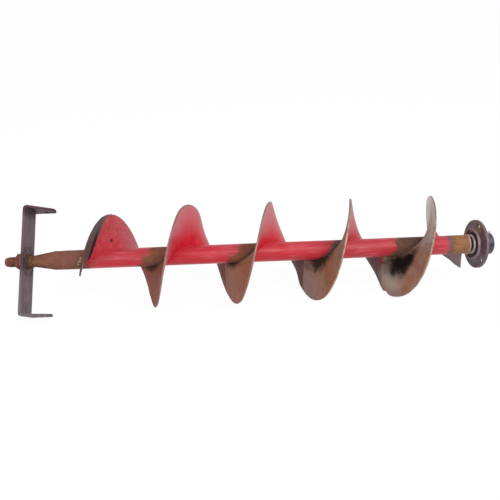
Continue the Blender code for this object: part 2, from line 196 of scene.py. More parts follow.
def srgb(code):
    """Linear RGBA of an sRGB hex colour."""
    channels = [int(code[i:i + 2], 16) / 255 for i in (1, 3, 5)]
    return [c / 12.92 if c <= 0.04045 else ((c + 0.055) / 1.055) ** 2.4 for c in channels] + [1.0]


# Setting that a word after a node's kind stands for
mode_settings = {
    "Math": "operation",
    "VectorMath": "operation",
    "MapRange": "interpolation_type",
    "Mix": "data_type",
}


def add_node(tree, kind, *ordered, **named):
    """Add a node to a tree with its settings and links.

    A kind is a node's type without ShaderNode or GeometryNode, and a mode may follow it. Inputs come in
    the order that the node shows them, or by a capitalised name; other names are settings. An input is
    a value, a hex colour, a socket, or a node, which gives its first output.
    """
    kind, *mode = kind.split()
    prefix = next(p for p in ("ShaderNode", "GeometryNode", "") if hasattr(bpy.types, p + kind))
    node = tree.nodes.new(prefix + kind)
    if mode:
        setattr(node, mode_settings[kind], mode[0])
    inputs = {}
    for name, value in named.items():
        if name[0].isupper():
            inputs[name.replace("_", " ")] = value
        else:
            setattr(node, name, value)
    shown = [i for i, socket in enumerate(node.inputs) if socket.enabled]
    inputs.update(zip(shown, ordered))
    for key, value in inputs.items():
        if isinstance(value, bpy.types.Node):
            value = next(socket for socket in value.outputs if socket.enabled)
        if isinstance(value, bpy.types.NodeSocket):
            tree.links.new(value, node.inputs[key])
        elif isinstance(value, str) and value.startswith("#"):
            node.inputs[key].default_value = srgb(value)
        else:
            node.inputs[key].default_value = value
    return node


def along_axis(node):
    """Where a solid starts and ends along the axis."""
    return [corner.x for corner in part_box(node)]


def around(x, radius, angle):
    """Point at a distance from the auger's axis and an angle about it."""
    turn = math.radians(angle)
    return Vector((x, -radius * math.cos(turn), axis_z + radius * math.sin(turn)))


def outward(angle):
    """Direction out from the auger's axis at an angle about it."""
    return around(0.0, 1.0, angle) - Vector((0.0, 0.0, axis_z))


def flight_x(sweep):
    """Place along the axis of the flight at a sweep from its nose."""
    bend = nose_bend * max(0.0, 1.0 - sweep / nose_bend_sweep) ** 2
    return flight_end_x - flight_pitch * (flight_sweep - sweep) / 360.0 + bend


def edge_shift(sweep):
    """How far the flight's outer edge is knocked along the axis at a sweep."""
    shift = 0.0
    for middle, half_width, amount in flight_bends:
        near = max(0.0, 1.0 - abs(sweep - middle) / half_width)
        shift += amount * near * near * (3.0 - 2.0 * near)
    return shift


def new_object(name, data):
    obj = bpy.data.objects.new(name, data)
    bpy.context.scene.collection.objects.link(obj)
    return obj


def grid_mesh(name, rows, closed_across=False, closed_along=False):
    """Mesh of quads through rows of points, with its doubles merged and its faces turned outwards."""
    across = len(rows[0])
    verts = [point for row in rows for point in row]
    faces = []
    for i in range(len(rows) if closed_along else len(rows) - 1):
        below = (i + 1) % len(rows)
        for j in range(across if closed_across else across - 1):
            beside = (j + 1) % across
            faces.append((i * across + j, i * across + beside, below * across + beside, below * across + j))
    mesh = bpy.data.meshes.new(name)
    mesh.from_pydata(verts, [], faces)
    bm = bmesh.new()
    bm.from_mesh(mesh)
    bmesh.ops.remove_doubles(bm, verts=bm.verts, dist=merge_distance)
    bmesh.ops.recalc_face_normals(bm, faces=bm.faces)
    bm.to_mesh(mesh)
    bm.free()
    return mesh


def rounded(points, radius, steps=3):
    """Closed profile with each corner off the axis rounded by an arc that its sides have room for."""
    made = []
    for i, point in enumerate(points):
        corner = Vector(point)
        before = Vector(points[i - 1]) - corner
        after = Vector(points[(i + 1) % len(points)]) - corner
        reach = min(radius, before.length * 0.45, after.length * 0.45)
        if corner.y < 0.1 * MM or reach <= 0.0:
            made.append(tuple(corner))
            continue
        start = corner + before.normalized() * reach
        end = corner + after.normalized() * reach
        for step in range(steps + 1):
            share = step / steps
            curve = start * (1 - share) ** 2 + corner * 2 * share * (1 - share) + end * share ** 2
            made.append(tuple(curve))
    return made


def turned_mesh(name, profile, steps=96, radius_at=None):
    """Solid turned about the auger's axis from a closed profile of (x, radius) points."""
    rows = []
    for i in range(steps):
        angle = 360.0 * i / steps
        rows.append([around(x, radius_at(r, angle) if radius_at else r, angle) for x, r in profile])
    return grid_mesh(name, rows, closed_across=True, closed_along=True)


def rod_mesh(name, profile, steps, start, direction):
    """Solid turned about its own line from a closed profile of (distance, radius) points."""
    mesh = turned_mesh(name, profile, steps)
    to_line = Vector(direction).to_track_quat("X", "Z").to_matrix().to_4x4()
    mesh.transform(Matrix.Translation(start) @ to_line @ Matrix.Translation((0.0, 0.0, -axis_z)))
    return mesh


def bar(start, end, radius):
    """Profile of a plain round bar between two distances along a line."""
    return [(start, 0.0), (start, radius), (end, radius), (end, 0.0)]


def ring(start, end, inner, outer):
    """Profile of a plain ring between two distances along a line."""
    return [(start, inner), (start, outer), (end, outer), (end, inner)]


def sheet_profile(line, thickness):
    """Closed profile of a sheet that follows a line of (x, radius) points."""
    sides = ([], [])
    for i, point in enumerate(line):
        ahead = Vector(line[min(i + 1, len(line) - 1)]) - Vector(line[max(i - 1, 0)])
        across = Vector((-ahead.y, ahead.x)).normalized() * thickness / 2
        sides[0].append(tuple(Vector(point) + across))
        sides[1].append(tuple(Vector(point) - across))
    return sides[0] + sides[1][::-1]


def settle(obj):
    """Turn an object's modifiers into a plain mesh."""
    graph = bpy.context.evaluated_depsgraph_get()
    mesh = bpy.data.meshes.new_from_object(obj.evaluated_get(graph), depsgraph=graph)
    obj.modifiers.clear()
    obj.data = mesh
    return obj


def cut(obj, mesh):
    """Cut a mesh out of an object."""
    cutter = new_object("cutter", mesh)
    boolean = obj.modifiers.new("cut", "BOOLEAN")
    boolean.operation = "DIFFERENCE"
    boolean.solver = "EXACT"
    boolean.object = cutter
    settle(obj)
    bpy.data.objects.remove(cutter)


def soften(obj, width, segments=2):
    """Round an object's sharp edges."""
    bevel = obj.modifiers.new("soften", "BEVEL")
    bevel.width = width
    bevel.segments = segments
    bevel.limit_method = "ANGLE"
    bevel.angle_limit = bevel_angle
    settle(obj)


def piece(obj, body, nodes, material=None):
    """Put a finished object on its body, in place of the solids that it stands for."""
    if material is not None:
        obj.data.materials.clear()
        obj.data.materials.append(material)
    obj.data.shade_smooth()
    obj.data.set_sharp_from_angle(angle=sharp_angle)
    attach(obj, body)
    if nodes:
        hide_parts(*nodes)


def turned_piece(name, profile, body, node, material, steps=96):
    """Finished piece turned about the auger's axis, in place of one solid."""
    piece(new_object(name, turned_mesh(name, profile, steps)), body, [node], material)


def new_tree(name, sockets):
    """Geometry node tree with named inputs, the function that adds to it, and what it is given."""
    tree = bpy.data.node_groups.new(name, "GeometryNodeTree")
    tree.interface.new_socket("Geometry", in_out="INPUT", socket_type="NodeSocketGeometry")
    for label, kind, value in sockets:
        socket = tree.interface.new_socket(label, in_out="INPUT", socket_type=f"NodeSocket{kind}")
        socket.default_value = value
    tree.interface.new_socket("Geometry", in_out="OUTPUT", socket_type="NodeSocketGeometry")
    add = functools.partial(add_node, tree)
    return tree, add, add("NodeGroupInput").outputs


def use_tree(obj, tree, values):
    """Run a geometry node tree on an object, with its inputs set first, and keep the result as a mesh."""
    modifier = obj.modifiers.new(tree.name, "NODES")
    modifier.node_group = tree
    for socket in tree.interface.items_tree:
        if socket.in_out == "INPUT" and socket.name in values:
            modifier[socket.identifier] = values[socket.name]
    return settle(obj)


# Patterns and finishes

# Grit, rust pits and scouring are under 0.5 mm on real steel. That is too fine to show in the render, so
# they are drawn coarser
grit_size = 3.2 * MM
fleck_size = 3.5 * MM
pit_size = 1.6 * MM
scale_pit_size = 2.4 * MM
scour_size = 3.0 * MM


def patches(add, where, size, low, high, detail=4.0, drawn=None):
    """Soft-edged patches about one size across: 0 between them and 1 inside.

    They may be drawn out by a factor along each axis.
    """
    if drawn:
        where = add("Mapping", Vector=where, Scale=[1.0 / factor for factor in drawn])
    noise = add("TexNoise", where, 1.0 / size, detail)
    return add("MapRange SMOOTHSTEP", noise, low, high)


def layered(add, base, *coats):
    """Colour with coats over it, each a colour and the masks and strengths that thin it."""
    for colour, mask, *others in coats:
        for other in others:
            mask = add("Math MULTIPLY", mask, other)
        base = add("Mix RGBA", mask, base, colour)
    return base


def window(add, value, start, end, soft):
    """Mask that is 1 between two values and fades over a soft margin at both."""
    rise = add("MapRange", value, start - soft, start + soft)
    fall = add("MapRange", value, end + soft, end - soft)
    return add("Math MULTIPLY", rise, fall)


def adder(owner):
    """Function that adds to the emptied nodes of a material or a world."""
    owner.use_nodes = True
    owner.node_tree.nodes.clear()
    return functools.partial(add_node, owner.node_tree)


def new_material(name):
    """Material, the function that adds to its nodes, and the Object coordinates."""
    material = bpy.data.materials.new(name)
    add = adder(material)
    return material, add, add("TexCoord").outputs["Object"]


def surface(add, colour, rough, metal, height, depth, shine=0.2):
    """Finish a material with a colour, a roughness range over a mask, metal, a bumped height, and shine."""
    mask, smooth, coarse = rough
    shader = add(
        "BsdfPrincipled", Base_Color=colour, Roughness=add("MapRange", mask, 0.0, 1.0, smooth, coarse),
        Metallic=metal, Specular_IOR_Level=shine,
        Normal=add("Bump", Height=height, Distance=depth, Strength=0.6),
    )
    add("OutputMaterial", shader)


def fill_ramp(ramp, stops):
    """Give a colour ramp its stops, each a place and a colour."""
    elements = ramp.color_ramp.elements
    elements.remove(elements[-1])
    for i, (place, colour) in enumerate(stops):
        element = elements.new(place) if i else elements[0]
        element.color = colour


# Finishes that have aged outdoors: base, stain, grime and grit colours, patch size in mm, metal,
# roughness range, and how far any drawn out patches are stretched along each axis
aged_finishes = {
    # Turned mild steel, rusted a reddish brown with olive flecks drawn along the shaft
    "rusted_shaft_steel": ("#73463D", "#835444", "#4A2E29", "#94784F", 12, 0.1, (0.6, 0.85), (3, 1, 1)),
    # Drive shaft inside the bearing, black with old grease and darkened further as painted shade in the gap by the
    # tube's end
    "greasy_shaft_steel": ("#241B1A", "#33261F", "#120D0D", "#4A382C", 8, 0.2, (0.4, 0.6)),
    # Forged nut and washer, rusted a redder brown
    "rusted_nut_steel": ("#733F3A", "#7F4D40", "#4A2A28", "#8A5A48", 9, 0.1, (0.6, 0.85)),
    # Machined boss, oxidised to a pale mauve
    "oxidised_boss_steel": ("#8A605E", "#7C5856", "#553E3E", "#9A7A72", 10, 0.25, (0.5, 0.75)),
    # Pressed sheet, dark with grease and mill scale
    "greasy_pressed_steel": ("#6C5961", "#7C6A73", "#352A2D", "#7E7064", 12, 0.3, (0.36, 0.6)),
    # Blackened collar, worn to slate
    "blackened_collar_steel": ("#464850", "#5A5C64", "#2C2C32", "#6E6862", 9, 0.5, (0.35, 0.6), (1, 1, 2)),
    # Ground bearing steel with a pale film of dried grease
    "oiled_bearing_steel": ("#B6A999", "#A3937F", "#5A4A3E", "#8A745A", 7, 0.4, (0.3, 0.55)),
    # The same steel on the inner ring, its end faces painted a paler grey as painted light where the tube shades
    # them
    "dirty_bearing_steel": ("#D6CEC8", "#BEB4AE", "#8A7C76", "#A89A8C", 7, 0.4, (0.3, 0.55)),
    # Oil-soaked sintered bronze, a dull yellowish brown
    "sintered_bronze": ("#6C4830", "#785434", "#443026", "#7E603C", 7, 0.3, (0.4, 0.6)),
    # Zinc plate, dulled white
    "dulled_zinc_plate": ("#E2E2DA", "#CECEC6", "#94907E", "#F0EEE8", 4, 0.2, (0.35, 0.6)),
    # Nitrile rubber under a brown film of grease and dust
    "dusty_nitrile_rubber": ("#3C2C2E", "#4A383A", "#241B1C", "#58464A", 6, 0.0, (0.55, 0.8)),
    # Weld beads, scaled and rusted to a sandy brown
    "rusted_weld_metal": ("#8A6250", "#A07A5E", "#4A342C", "#B49274", 5, 0.15, (0.55, 0.8)),
    # Stitch welds on the pushing side, dark with packed grease
    "greasy_weld_metal": ("#4E3A32", "#5E483C", "#261C18", "#6E5644", 5, 0.1, (0.5, 0.75)),
    # Weld lump at the flight's start, with pale dried dirt caught on it
    "dirt_caked_weld": ("#8B6E60", "#A89478", "#54403A", "#C2B294", 5, 0.0, (0.7, 0.9)),
    # Weld round the tube's end, under a pale pink rub of paint
    "paint_rubbed_weld": ("#AC8478", "#C0A092", "#72544C", "#D0B4A8", 6, 0.0, (0.5, 0.7)),
    # Weld between tube and flight, under the same red enamel
    "red_enamel_over_weld": ("#BC2030", "#C43A47", "#8E2630", "#CC6068", 22, 0.0, (0.36, 0.55)),
    # Bare outer edge of the flights, polished by the trough and browned since
    "browned_edge_steel": ("#A98D78", "#8A7062", "#5A4A46", "#C2A68C", 18, 0.3, (0.4, 0.65)),
}


def aged(name, coats=None):
    """Aged finish: a base tone with stains, dark grime, fine grit and any further coats over it."""
    base, stain, grime, grit, patch, metal, rough, *drawn = aged_finishes[name]
    material, add, where = new_material(name)
    stains = patches(add, where, patch * MM, 0.42, 0.62, 4.0, *drawn)
    dirt = patches(add, where, patch * MM * 1.7, 0.55, 0.74, 6.0, *drawn)
    specks = patches(add, where, grit_size, 0.46, 0.76, detail=9.0)
    colour = layered(add, base, (stain, stains), (grime, dirt), (grit, specks, 0.6))
    if coats:
        colour = layered(add, colour, *coats(add, where))
    pits = add("TexNoise", where, 1.0 / pit_size, 5.0)
    surface(add, colour, (stains, *rough), metal, pits, 0.5 * MM)
    return material


def boss_grease(add, where):
    """Dark grease on the boss's end inside the strap."""
    x = add("SeparateXYZ", where).outputs["X"]
    inside = along_axis("hanger_strap")[0] + strap_thickness
    return [("#4A332F", add("MapRange", x, inside - 1 * MM, inside, 0.0, 0.85))]


def ring_dirt_and_shade(add, where):
    """Brown dirt and painted shade round the inner ring in the flange's recess, short of its end faces."""
    x = add("SeparateXYZ", where).outputs["X"]
    back = bearing_x - inner_ring_back + 3.6 * MM
    return [("#443235", window(add, x, back, bearing_x + inner_ring_front, 0.6 * MM), 0.9)]


def flange_wear(add, where):
    """Flank darkened as painted shade with grease, ridge lightened as a painted highlight, dome lip worn and
    lightened as a painted highlight, rust high on the rim, darker low down, brown grease by the bearing.
    """
    offset = add("VectorMath SUBTRACT", where, (bearing_x, 0.0, axis_z))
    out = add("VectorMath LENGTH", offset).outputs["Value"]
    split = add("SeparateXYZ", offset).outputs
    proud = add("Math ABSOLUTE", split["X"])
    # Darker low down
    low = add("MapRange", split["Z"], -22 * MM, -52 * MM, 0.0, 0.55)
    # Painted shade on the dome's flank, with grease in it, and painted highlights on a ring of the flat rim and on
    # the dome's worn lip
    painted_shade_flank = window(add, out, 39.6 * MM, 43 * MM, 1.2 * MM)
    painted_highlight_ridge = window(add, out, 44.6 * MM, 46.6 * MM, 0.9 * MM)
    worn_dome_and_highlight = add("MapRange", proud, 5 * MM, 8.5 * MM, 0.0, 0.7)
    spot = around(bearing_x, 47 * MM, 84.0)
    apart = add("VectorMath DISTANCE", where, spot).outputs["Value"]
    close = add("MapRange", apart, 26 * MM, 8 * MM)
    crumbs = patches(add, where, 7 * MM, 0.42, 0.6, detail=8.0)
    grease = add("MapRange", out, 38.6 * MM, 37.4 * MM, 0.0, 0.85)
    return [
        ("#30272A", low), ("#2A2023", painted_shade_flank, 0.42), ("#9A8893", painted_highlight_ridge, 0.3), ("#A08C98", worn_dome_and_highlight),
        ("#8A7648", close, crumbs, 0.8), ("#3A2A2D", grease),
    ]


def strap_steel():
    """Hot rolled flat bar: mauve mill scale, bluer low down, dark at the upper bend, greasy by the boss."""
    material, add, where = new_material("mill_scale_flat_bar")
    offset = add("VectorMath SUBTRACT", where, (0.0, 0.0, axis_z))
    height, side = (
        add("VectorMath DOT_PRODUCT", offset, way).outputs["Value"]
        for way in (strap_up, strap_side)
    )
    across = add("VectorMath MULTIPLY", offset, (0.0, 1.0, 1.0))
    reach = add("VectorMath LENGTH", across).outputs["Value"]
    cloud = patches(add, where, 26 * MM, 0.35, 0.68, detail=6.0)
    wobble = add("TexNoise", where, 1.0 / (12 * MM), 4.0)
    uneven = add("Math MULTIPLY_ADD", wobble, 30 * MM, -15 * MM)
    ragged_height = add("Math ADD", height, uneven)
    ragged_reach = add("Math ADD", reach, uneven)
    low = add("MapRange", ragged_height, -20 * MM, -90 * MM)
    bend = add("MapRange", ragged_height, 104 * MM, 122 * MM)
    grease = window(add, ragged_reach, 26 * MM, 38 * MM, 4 * MM)
    rust = patches(add, where, 7 * MM, 0.6, 0.72)
    shrunk = add("Math MULTIPLY", height, 0.2)
    drawn = add("CombineXYZ", add("SeparateXYZ", where), side, shrunk)
    smears = patches(add, drawn, 9 * MM, 0.44, 0.64, detail=6.0)
    colour = layered(
        add, "#664D53", ("#75606A", cloud), ("#72686F", low, 0.8), ("#563F46", smears, 0.45),
        ("#7A5148", rust, 0.5), ("#452F31", bend, 0.75), ("#2E2022", grease, 0.6),
    )
    pits = add("TexNoise", where, 1.0 / scale_pit_size, 6.0)
    surface(add, colour, (cloud, 0.45, 0.7), 0.3, pits, 0.4 * MM)
    return material


def helix_share(add, where):
    """Place along the tube, share of the way through a bay between turns, which bay, and a tilt.

    The tilt runs from -1 low on the front to 1 high on the back.
    """
    split = add("SeparateXYZ", where).outputs
    up = add("Math SUBTRACT", split["Z"], axis_z)
    front = add("Math MULTIPLY", split["Y"], -1.0)
    angle = add("Math ARCTAN2", up, front)
    turn = add("Math DIVIDE", angle, 2 * math.pi)
    first_front = -flight_start_angle % 360.0
    first_x = flight_end_x - flight_pitch * (flight_sweep - first_front) / 360.0
    along = add("MapRange", split["X"], first_x, first_x + flight_pitch, clamp=False)
    bays = add("Math SUBTRACT", along, turn)
    share = add("Math FRACT", bays)
    bay = add("Math FLOOR", bays)
    tilted = add("Math SUBTRACT", angle, math.radians(28.0))
    return split["X"], share, bay, add("Math SINE", tilted)


# Share of each bay along the tube that keeps its paint, from before the first turn to after the last
bay_paint = (0.0, 0.69, 0.78, 0.95, 0.76, 1.5)

# Stains on the bare tube: where they start and end along it, how strong they are, and their colour
tube_stains = (
    (-470.0 * MM, -425.0 * MM, 0.7, "#7A4C43"),
    (185.0 * MM, 250.0 * MM, 0.6, "#54434A"),
    (352.0 * MM, 470.0 * MM, 0.7, "#45362F"),
    (488.0 * MM, 507.0 * MM, 0.8, "#6A505A"),
    (511.0 * MM, 546.0 * MM, 0.85, "#80603E"),
    (545.0 * MM, 560.0 * MM, 0.65, "#B88A78"),
)


def tube_enamel():
    """Red enamel on drawn tube, rubbed through to brown steel ahead of each turn, where the crop packs."""
    material, add, where = new_material("rubbed_red_enamel_tube")
    x, share, bay, tilt = helix_share(add, where)
    count = len(bay_paint)
    which = add("MapRange", bay, -1.5, count - 1.5)
    reach = add("ValToRGB", which)
    reach.color_ramp.interpolation = "CONSTANT"
    fill_ramp(reach, [(i / count, (value, value, value, 1.0)) for i, value in enumerate(bay_paint)])

    # Where the paint has gone
    broad = add("TexNoise", where, 1.0 / (30 * MM), 3.0)
    drawn = add("Mapping", Vector=where, Scale=(0.4, 1.0, 1.0))
    fine = add("TexNoise", drawn, 1.0 / (5 * MM), 5.0)
    ragged = add("Math MULTIPLY_ADD", broad, 0.24, share)
    ragged = add("Math MULTIPLY_ADD", fine, 0.2, ragged)
    past = add("Math SUBTRACT", ragged, reach)
    past = add("Math MULTIPLY_ADD", tilt, 0.1, past)
    worn = add("MapRange SMOOTHSTEP", past, 0.17, 0.23)
    torn_x = add("Math MULTIPLY_ADD", fine, 14 * MM, x)
    for painted_to, bare_from in ((-386 * MM, -398 * MM), (500 * MM, 503 * MM)):
        bared = add("MapRange", torn_x, painted_to, bare_from)
        worn = add("Math MAXIMUM", worn, bared)

    # Paint: faded, streaked and deep patches, filmed towards the outlet, and a deeper red painted as shade low on
    # the front of the first bays
    streaks = patches(add, where, 6 * MM, 0.5, 0.75, drawn=(7, 1, 1))
    faded = patches(add, where, 44 * MM, 0.4, 0.7)
    deep = patches(add, where, 14 * MM, 0.5, 0.7, drawn=(3, 1, 1))
    film = add("MapRange", x, 150 * MM, 260 * MM, 0.0, 0.45)
    # Painted shade: a deeper red low on the front of the tube, on the first bays only
    painted_underside_shade = add("MapRange", tilt, -0.2, -0.65, 0.0, 0.75)
    first_bays = add("MapRange", x, 70 * MM, 20 * MM)
    rubbed = add("MapRange", x, -215 * MM, -245 * MM, 0.0, 0.3)
    red = layered(
        add, "#BE1A2C", ("#C43643", faded, 0.7), ("#AE1628", deep, 0.5), ("#9E2C34", film),
        ("#A43A42", rubbed), ("#D8707A", streaks, 0.4), ("#C2041C", painted_underside_shade, first_bays),
    )

    # Bare steel: rusty and sooty patches, stains, bright orange streaks by the end weld as a painted highlight,
    # and packed dirt
    orange = patches(add, where, 12 * MM, 0.45, 0.64, drawn=(2, 1, 1))
    soot = patches(add, where, 18 * MM, 0.48, 0.64)
    packed = add("MapRange SMOOTHSTEP", ragged, 1.14, 1.24)
    bare = layered(add, "#7E3E2A", ("#8E4E26", orange, 0.8), ("#463029", soot, 0.45))
    for start, end, strength, code in tube_stains:
        bare = layered(add, bare, (code, window(add, x, start, end, 7 * MM), strength))
    # Painted highlight: bright orange streaks drawn along the tube by the end weld
    orange_highlight_streaks = patches(add, where, 6 * MM, 0.46, 0.62, drawn=(6, 1, 1))
    by_end = window(add, x, 508 * MM, 542 * MM, 6 * MM)
    grit = patches(add, where, fleck_size, 0.46, 0.76, detail=9.0)
    bands = patches(add, where, 7 * MM, 0.48, 0.64, drawn=(1, 4, 4))
    bare = layered(
        add, bare, ("#4E3E3E", bands, 0.3), ("#B87038", orange_highlight_streaks, by_end, 0.35), ("#90703F", grit, 0.4),
        ("#281C1A", packed, 0.7),
    )

    colour = layered(add, red, (bare, worn))
    paint_step = add("Math MULTIPLY_ADD", fine, 0.25, worn)
    height = add("Math SUBTRACT", 1.0, paint_step)
    dusty = add("MapRange", x, 20 * MM, 80 * MM, 0.0, 0.4)
    dulled = add("Math MAXIMUM", worn, dusty)
    surface(add, colour, (dulled, 0.28, 0.7), 0.0, height, 0.35 * MM, shine=0.42)
    return material


def flight_marks(add):
    """Sweep from the nose, share of the way out from the tube, and the turn angle as a share of a turn."""
    sweep, share = (
        add("Attribute", attribute_name=name).outputs["Fac"] for name in ("sweep", "share")
    )
    angle = add("Math ADD", sweep, flight_start_angle)
    turns = add("Math DIVIDE", angle, 360.0)
    return sweep, share, add("Math FRACT", turns)


def radial_grain(add, sweep, share, width, length):
    """Coordinates for marks that run out from the tube: width in degrees of sweep, length as a share."""
    across = add("Math DIVIDE", sweep, width)
    out = add("Math DIVIDE", share, length)
    return add("CombineXYZ", across, out)


def flight_enamel():
    """Red enamel on the carrying side: deep by the tube, hazed pink and thinned towards the outer edge, the pink
    haze partly a painted sheen over faded enamel.
    """
    material, add, where = new_material("hazed_red_enamel_flight")
    sweep, share, _ = flight_marks(add)
    cloud = add("TexNoise", where, 1.0 / (38 * MM), 5.0)
    fine = add("TexNoise", where, 1.0 / (5 * MM), 5.0)
    streaks = patches(add, radial_grain(add, sweep, share, 4.0, 0.5), 1.0, 0.5, 0.72)

    # Haze that grows outwards and with the turns, faded enamel with a painted sheen over it, and the rubbed first
    # turn
    first = add("MapRange", sweep, 300.0, 420.0, 0.22, 0.0)
    later = add("MapRange", sweep, 620.0, 860.0, 0.0, 0.24)
    out = add("Math MULTIPLY_ADD", cloud, 0.5, share)
    out = add("Math ADD", out, later)
    pinker = add("Math ADD", out, first)
    # Pinker towards the outer edge: faded enamel with a painted sheen
    pink = add("MapRange", pinker, 0.48, 0.95)
    older = add("MapRange", sweep, 330.0, 460.0, 0.03, 0.48)
    haze_and_painted_sheen = add("MapRange", out, 0.86, 1.56, 0.0, older)
    dull = add("MapRange", sweep, 1060.0, 1200.0, 0.0, 0.45)
    outer = add("MapRange", share, 0.3, 0.7)
    deep = patches(add, where, 15 * MM, 0.5, 0.66)
    brushed = patches(add, where, 13 * MM, 0.48, 0.66, detail=6.0)
    scratches = patches(add, where, 5 * MM, 0.54, 0.74, detail=9.0)

    # Bare outer edge, worn nose with a black line along the paint, and chips
    frayed = add("Math MULTIPLY_ADD", fine, 0.06, share)
    edge = add("MapRange", frayed, 0.985, 1.01)
    limit = add("Math MULTIPLY_ADD", sweep, 0.011, -0.618)
    ragged = add("Math MULTIPLY_ADD", fine, 0.16, share)
    over = add("Math SUBTRACT", ragged, limit)
    early = add("MapRange", sweep, 168.0, 150.0)
    nose = add("MapRange SMOOTHSTEP", over, 0.06, 0.1)
    low = add("MapRange", sweep, 130.0, 108.0)
    black = window(add, over, 0.05, 0.3, 0.05)
    rooted = add("MapRange", sweep, 66.0, 48.0, 0.0, 0.8)
    chip_sweep = 149.4
    chip_x = flight_x(chip_sweep) + flight_thickness / 2
    chip_spot = around(chip_x, 44 * MM, flight_start_angle + chip_sweep)
    apart = add("VectorMath DISTANCE", where, chip_spot).outputs["Value"]
    chip = add("MapRange", apart, 6 * MM, 3.5 * MM, 0.0, 0.85)
    chips = patches(add, where, 9 * MM, 0.68, 0.71, detail=2.0)

    colour = layered(
        add, "#CE162C", ("#A81426", deep, 0.35), ("#CB4A56", pink), ("#BE3E47", first, 3.2),
        ("#B8222E", first, outer, 2.6), ("#A42A38", deep, first, 2.4), ("#CC5A60", brushed, first, 1.4),
        ("#CE8E88", scratches, first, 1.1), ("#9A5048", dull), ("#CF6A70", streaks, 0.25),
        ("#B38588", haze_and_painted_sheen), ("#8A3036", chips, 0.5), ("#3A2022", chip), ("#7C6660", edge, 0.75),
        ("#5C4A4A", nose, early), ("#181012", black, low), ("#7A4A3E", rooted),
    )
    surface(add, colour, (cloud, 0.34, 0.58), 0.0, fine, 0.3 * MM, shine=0.35)
    return material


# Tone of the pushing side round a turn, by turn angle in degrees: rust colours with painted light, paler over the
# top as a painted sheen and darker low on the back as painted shade
push_tones_and_painted_light = (
    (0.0, "#A27A64"),
    (40.0, "#9C7E6D"),
    (75.0, "#A28D87"),
    (105.0, "#AC9C99"),
    (140.0, "#9D8B87"),
    (190.0, "#7F686B"),
    (235.0, "#5F4A50"),
    (262.0, "#624D51"),
    (266.0, "#9E8579"),
    (288.0, "#9D8073"),
    (312.0, "#9F7966"),
    (340.0, "#9A725C"),
    (360.0, "#A27A64"),
)

# Marks on the pushing side: middle sweep and share, half sizes in both, strength, colour
push_marks = (
    (690.0, 0.4, 200.0, 2.6, 0.45, "#A86E5A"),
    (330.0, 0.4, 270.0, 2.8, 0.95, "#8C5044"),
    (738.0, 0.68, 26.0, 0.6, 0.6, "#9C6340"),
    (634.0, 0.47, 24.0, 0.8, 0.5, "#5C3C3C"),
    (1040.0, 0.6, 34.0, 0.6, 0.5, "#9A8880"),
    (1098.0, 0.72, 18.0, 0.5, 0.5, "#965F3C"),
    (1398.0, 0.6, 34.0, 0.55, 0.9, "#ACA297"),
    (1408.0, 0.97, 22.0, 0.2, 0.6, "#937A7A"),
    (1450.0, 0.74, 26.0, 0.5, 0.5, "#A68E7E"),
    (1446.0, 0.74, 12.0, 0.16, 0.6, "#A0683F"),
    (1431.0, 0.88, 13.0, 0.1, 0.6, "#98643F"),
    (1466.0, 0.72, 7.0, 0.5, 0.4, "#90524A"),
    # Near white leaf by the tail: scoured bare steel with a painted sheen
    (1592.0, 0.8, 96.0, 2.2, 1.0, "#E6E1E1"),
    (1545.0, 0.15, 52.0, 0.9, 0.75, "#97755F"),
    (1720.0, 0.5, 60.0, 1.2, 0.85, "#94888A"),
    (1369.0, 0.14, 9.0, 0.36, 0.85, "#A8383C"),
    # Black along the tube on the second section: grease, with painted shade in the corner by the tube
    (330.0, 0.0, 50.0, 0.18, 0.8, "#2A1C1A"),
    (690.0, 0.0, 40.0, 0.2, 0.9, "#1C1413"),
    (1072.0, 0.04, 76.0, 0.36, 0.9, "#140E0E"),
    (1418.0, 0.2, 52.0, 0.42, 1.0, "#1A1414"),
    (1456.0, 0.24, 42.0, 0.26, 1.0, "#1A1414"),
)


def push_steel():
    """Steel on the pushing side: scoured by the crop, rusted since, toned round each turn with painted light and
    shade, with black grease packed by the tube and painted shade in its corner.
    """
    material, add, where = new_material("scoured_rusty_flight_steel")
    sweep, share, phase = flight_marks(add)
    cloud = add("TexNoise", where, 1.0 / (26 * MM), 6.0)
    crumb = add("TexNoise", where, 1.0 / (7 * MM), 5.0)
    # Painted light and shade: paler over the top of each turn, darker low on the back
    tone = add("ValToRGB", phase)
    fill_ramp(tone, [(angle / 360.0, srgb(code)) for angle, code in push_tones_and_painted_light])
    streaks = patches(add, radial_grain(add, sweep, share, 5.0, 0.5), 1.0, 0.45, 0.7, detail=6.0)
    mottle = patches(add, where, 15 * MM, 0.42, 0.7, detail=9.0)
    flecks = patches(add, where, fleck_size, 0.48, 0.78, detail=9.0)
    grain = radial_grain(add, sweep, share, 3.5, 0.3)
    drips = add("TexNoise", grain, 1.0, 4.0)
    scuffs = patches(add, radial_grain(add, sweep, share, 40.0, 0.03), 1.0, 0.55, 0.75, detail=3.0)
    colour = layered(
        add, tone, ("#6A4A42", streaks, 0.18), ("#664840", mottle, 0.35), ("#B6A69C", scuffs, 0.18),
        ("#A08876", flecks, 0.5),
    )
    rough_edge = add("Math MULTIPLY_ADD", crumb, 0.5, cloud)
    rough_edge = add("Math MULTIPLY_ADD", drips, 0.3, rough_edge)
    for middle, out, half_sweep, half_share, strength, code in push_marks:
        spot = add("CombineXYZ", sweep, share)
        spot = add("VectorMath SUBTRACT", spot, (middle, out, 0.0))
        spot = add("VectorMath DIVIDE", spot, (half_sweep, half_share, 1.0))
        apart = add("VectorMath LENGTH", spot).outputs["Value"]
        apart = add("Math ADD", apart, rough_edge)
        mask = add("MapRange SMOOTHSTEP", apart, 2.1, 1.15, 0.0, strength)
        colour = layered(add, colour, (code, mask))
    fine = add("TexNoise", where, 1.0 / scour_size, 5.0)
    surface(add, colour, (streaks, 0.6, 0.85), 0.1, fine, 0.3 * MM, shine=0.05)
    return material


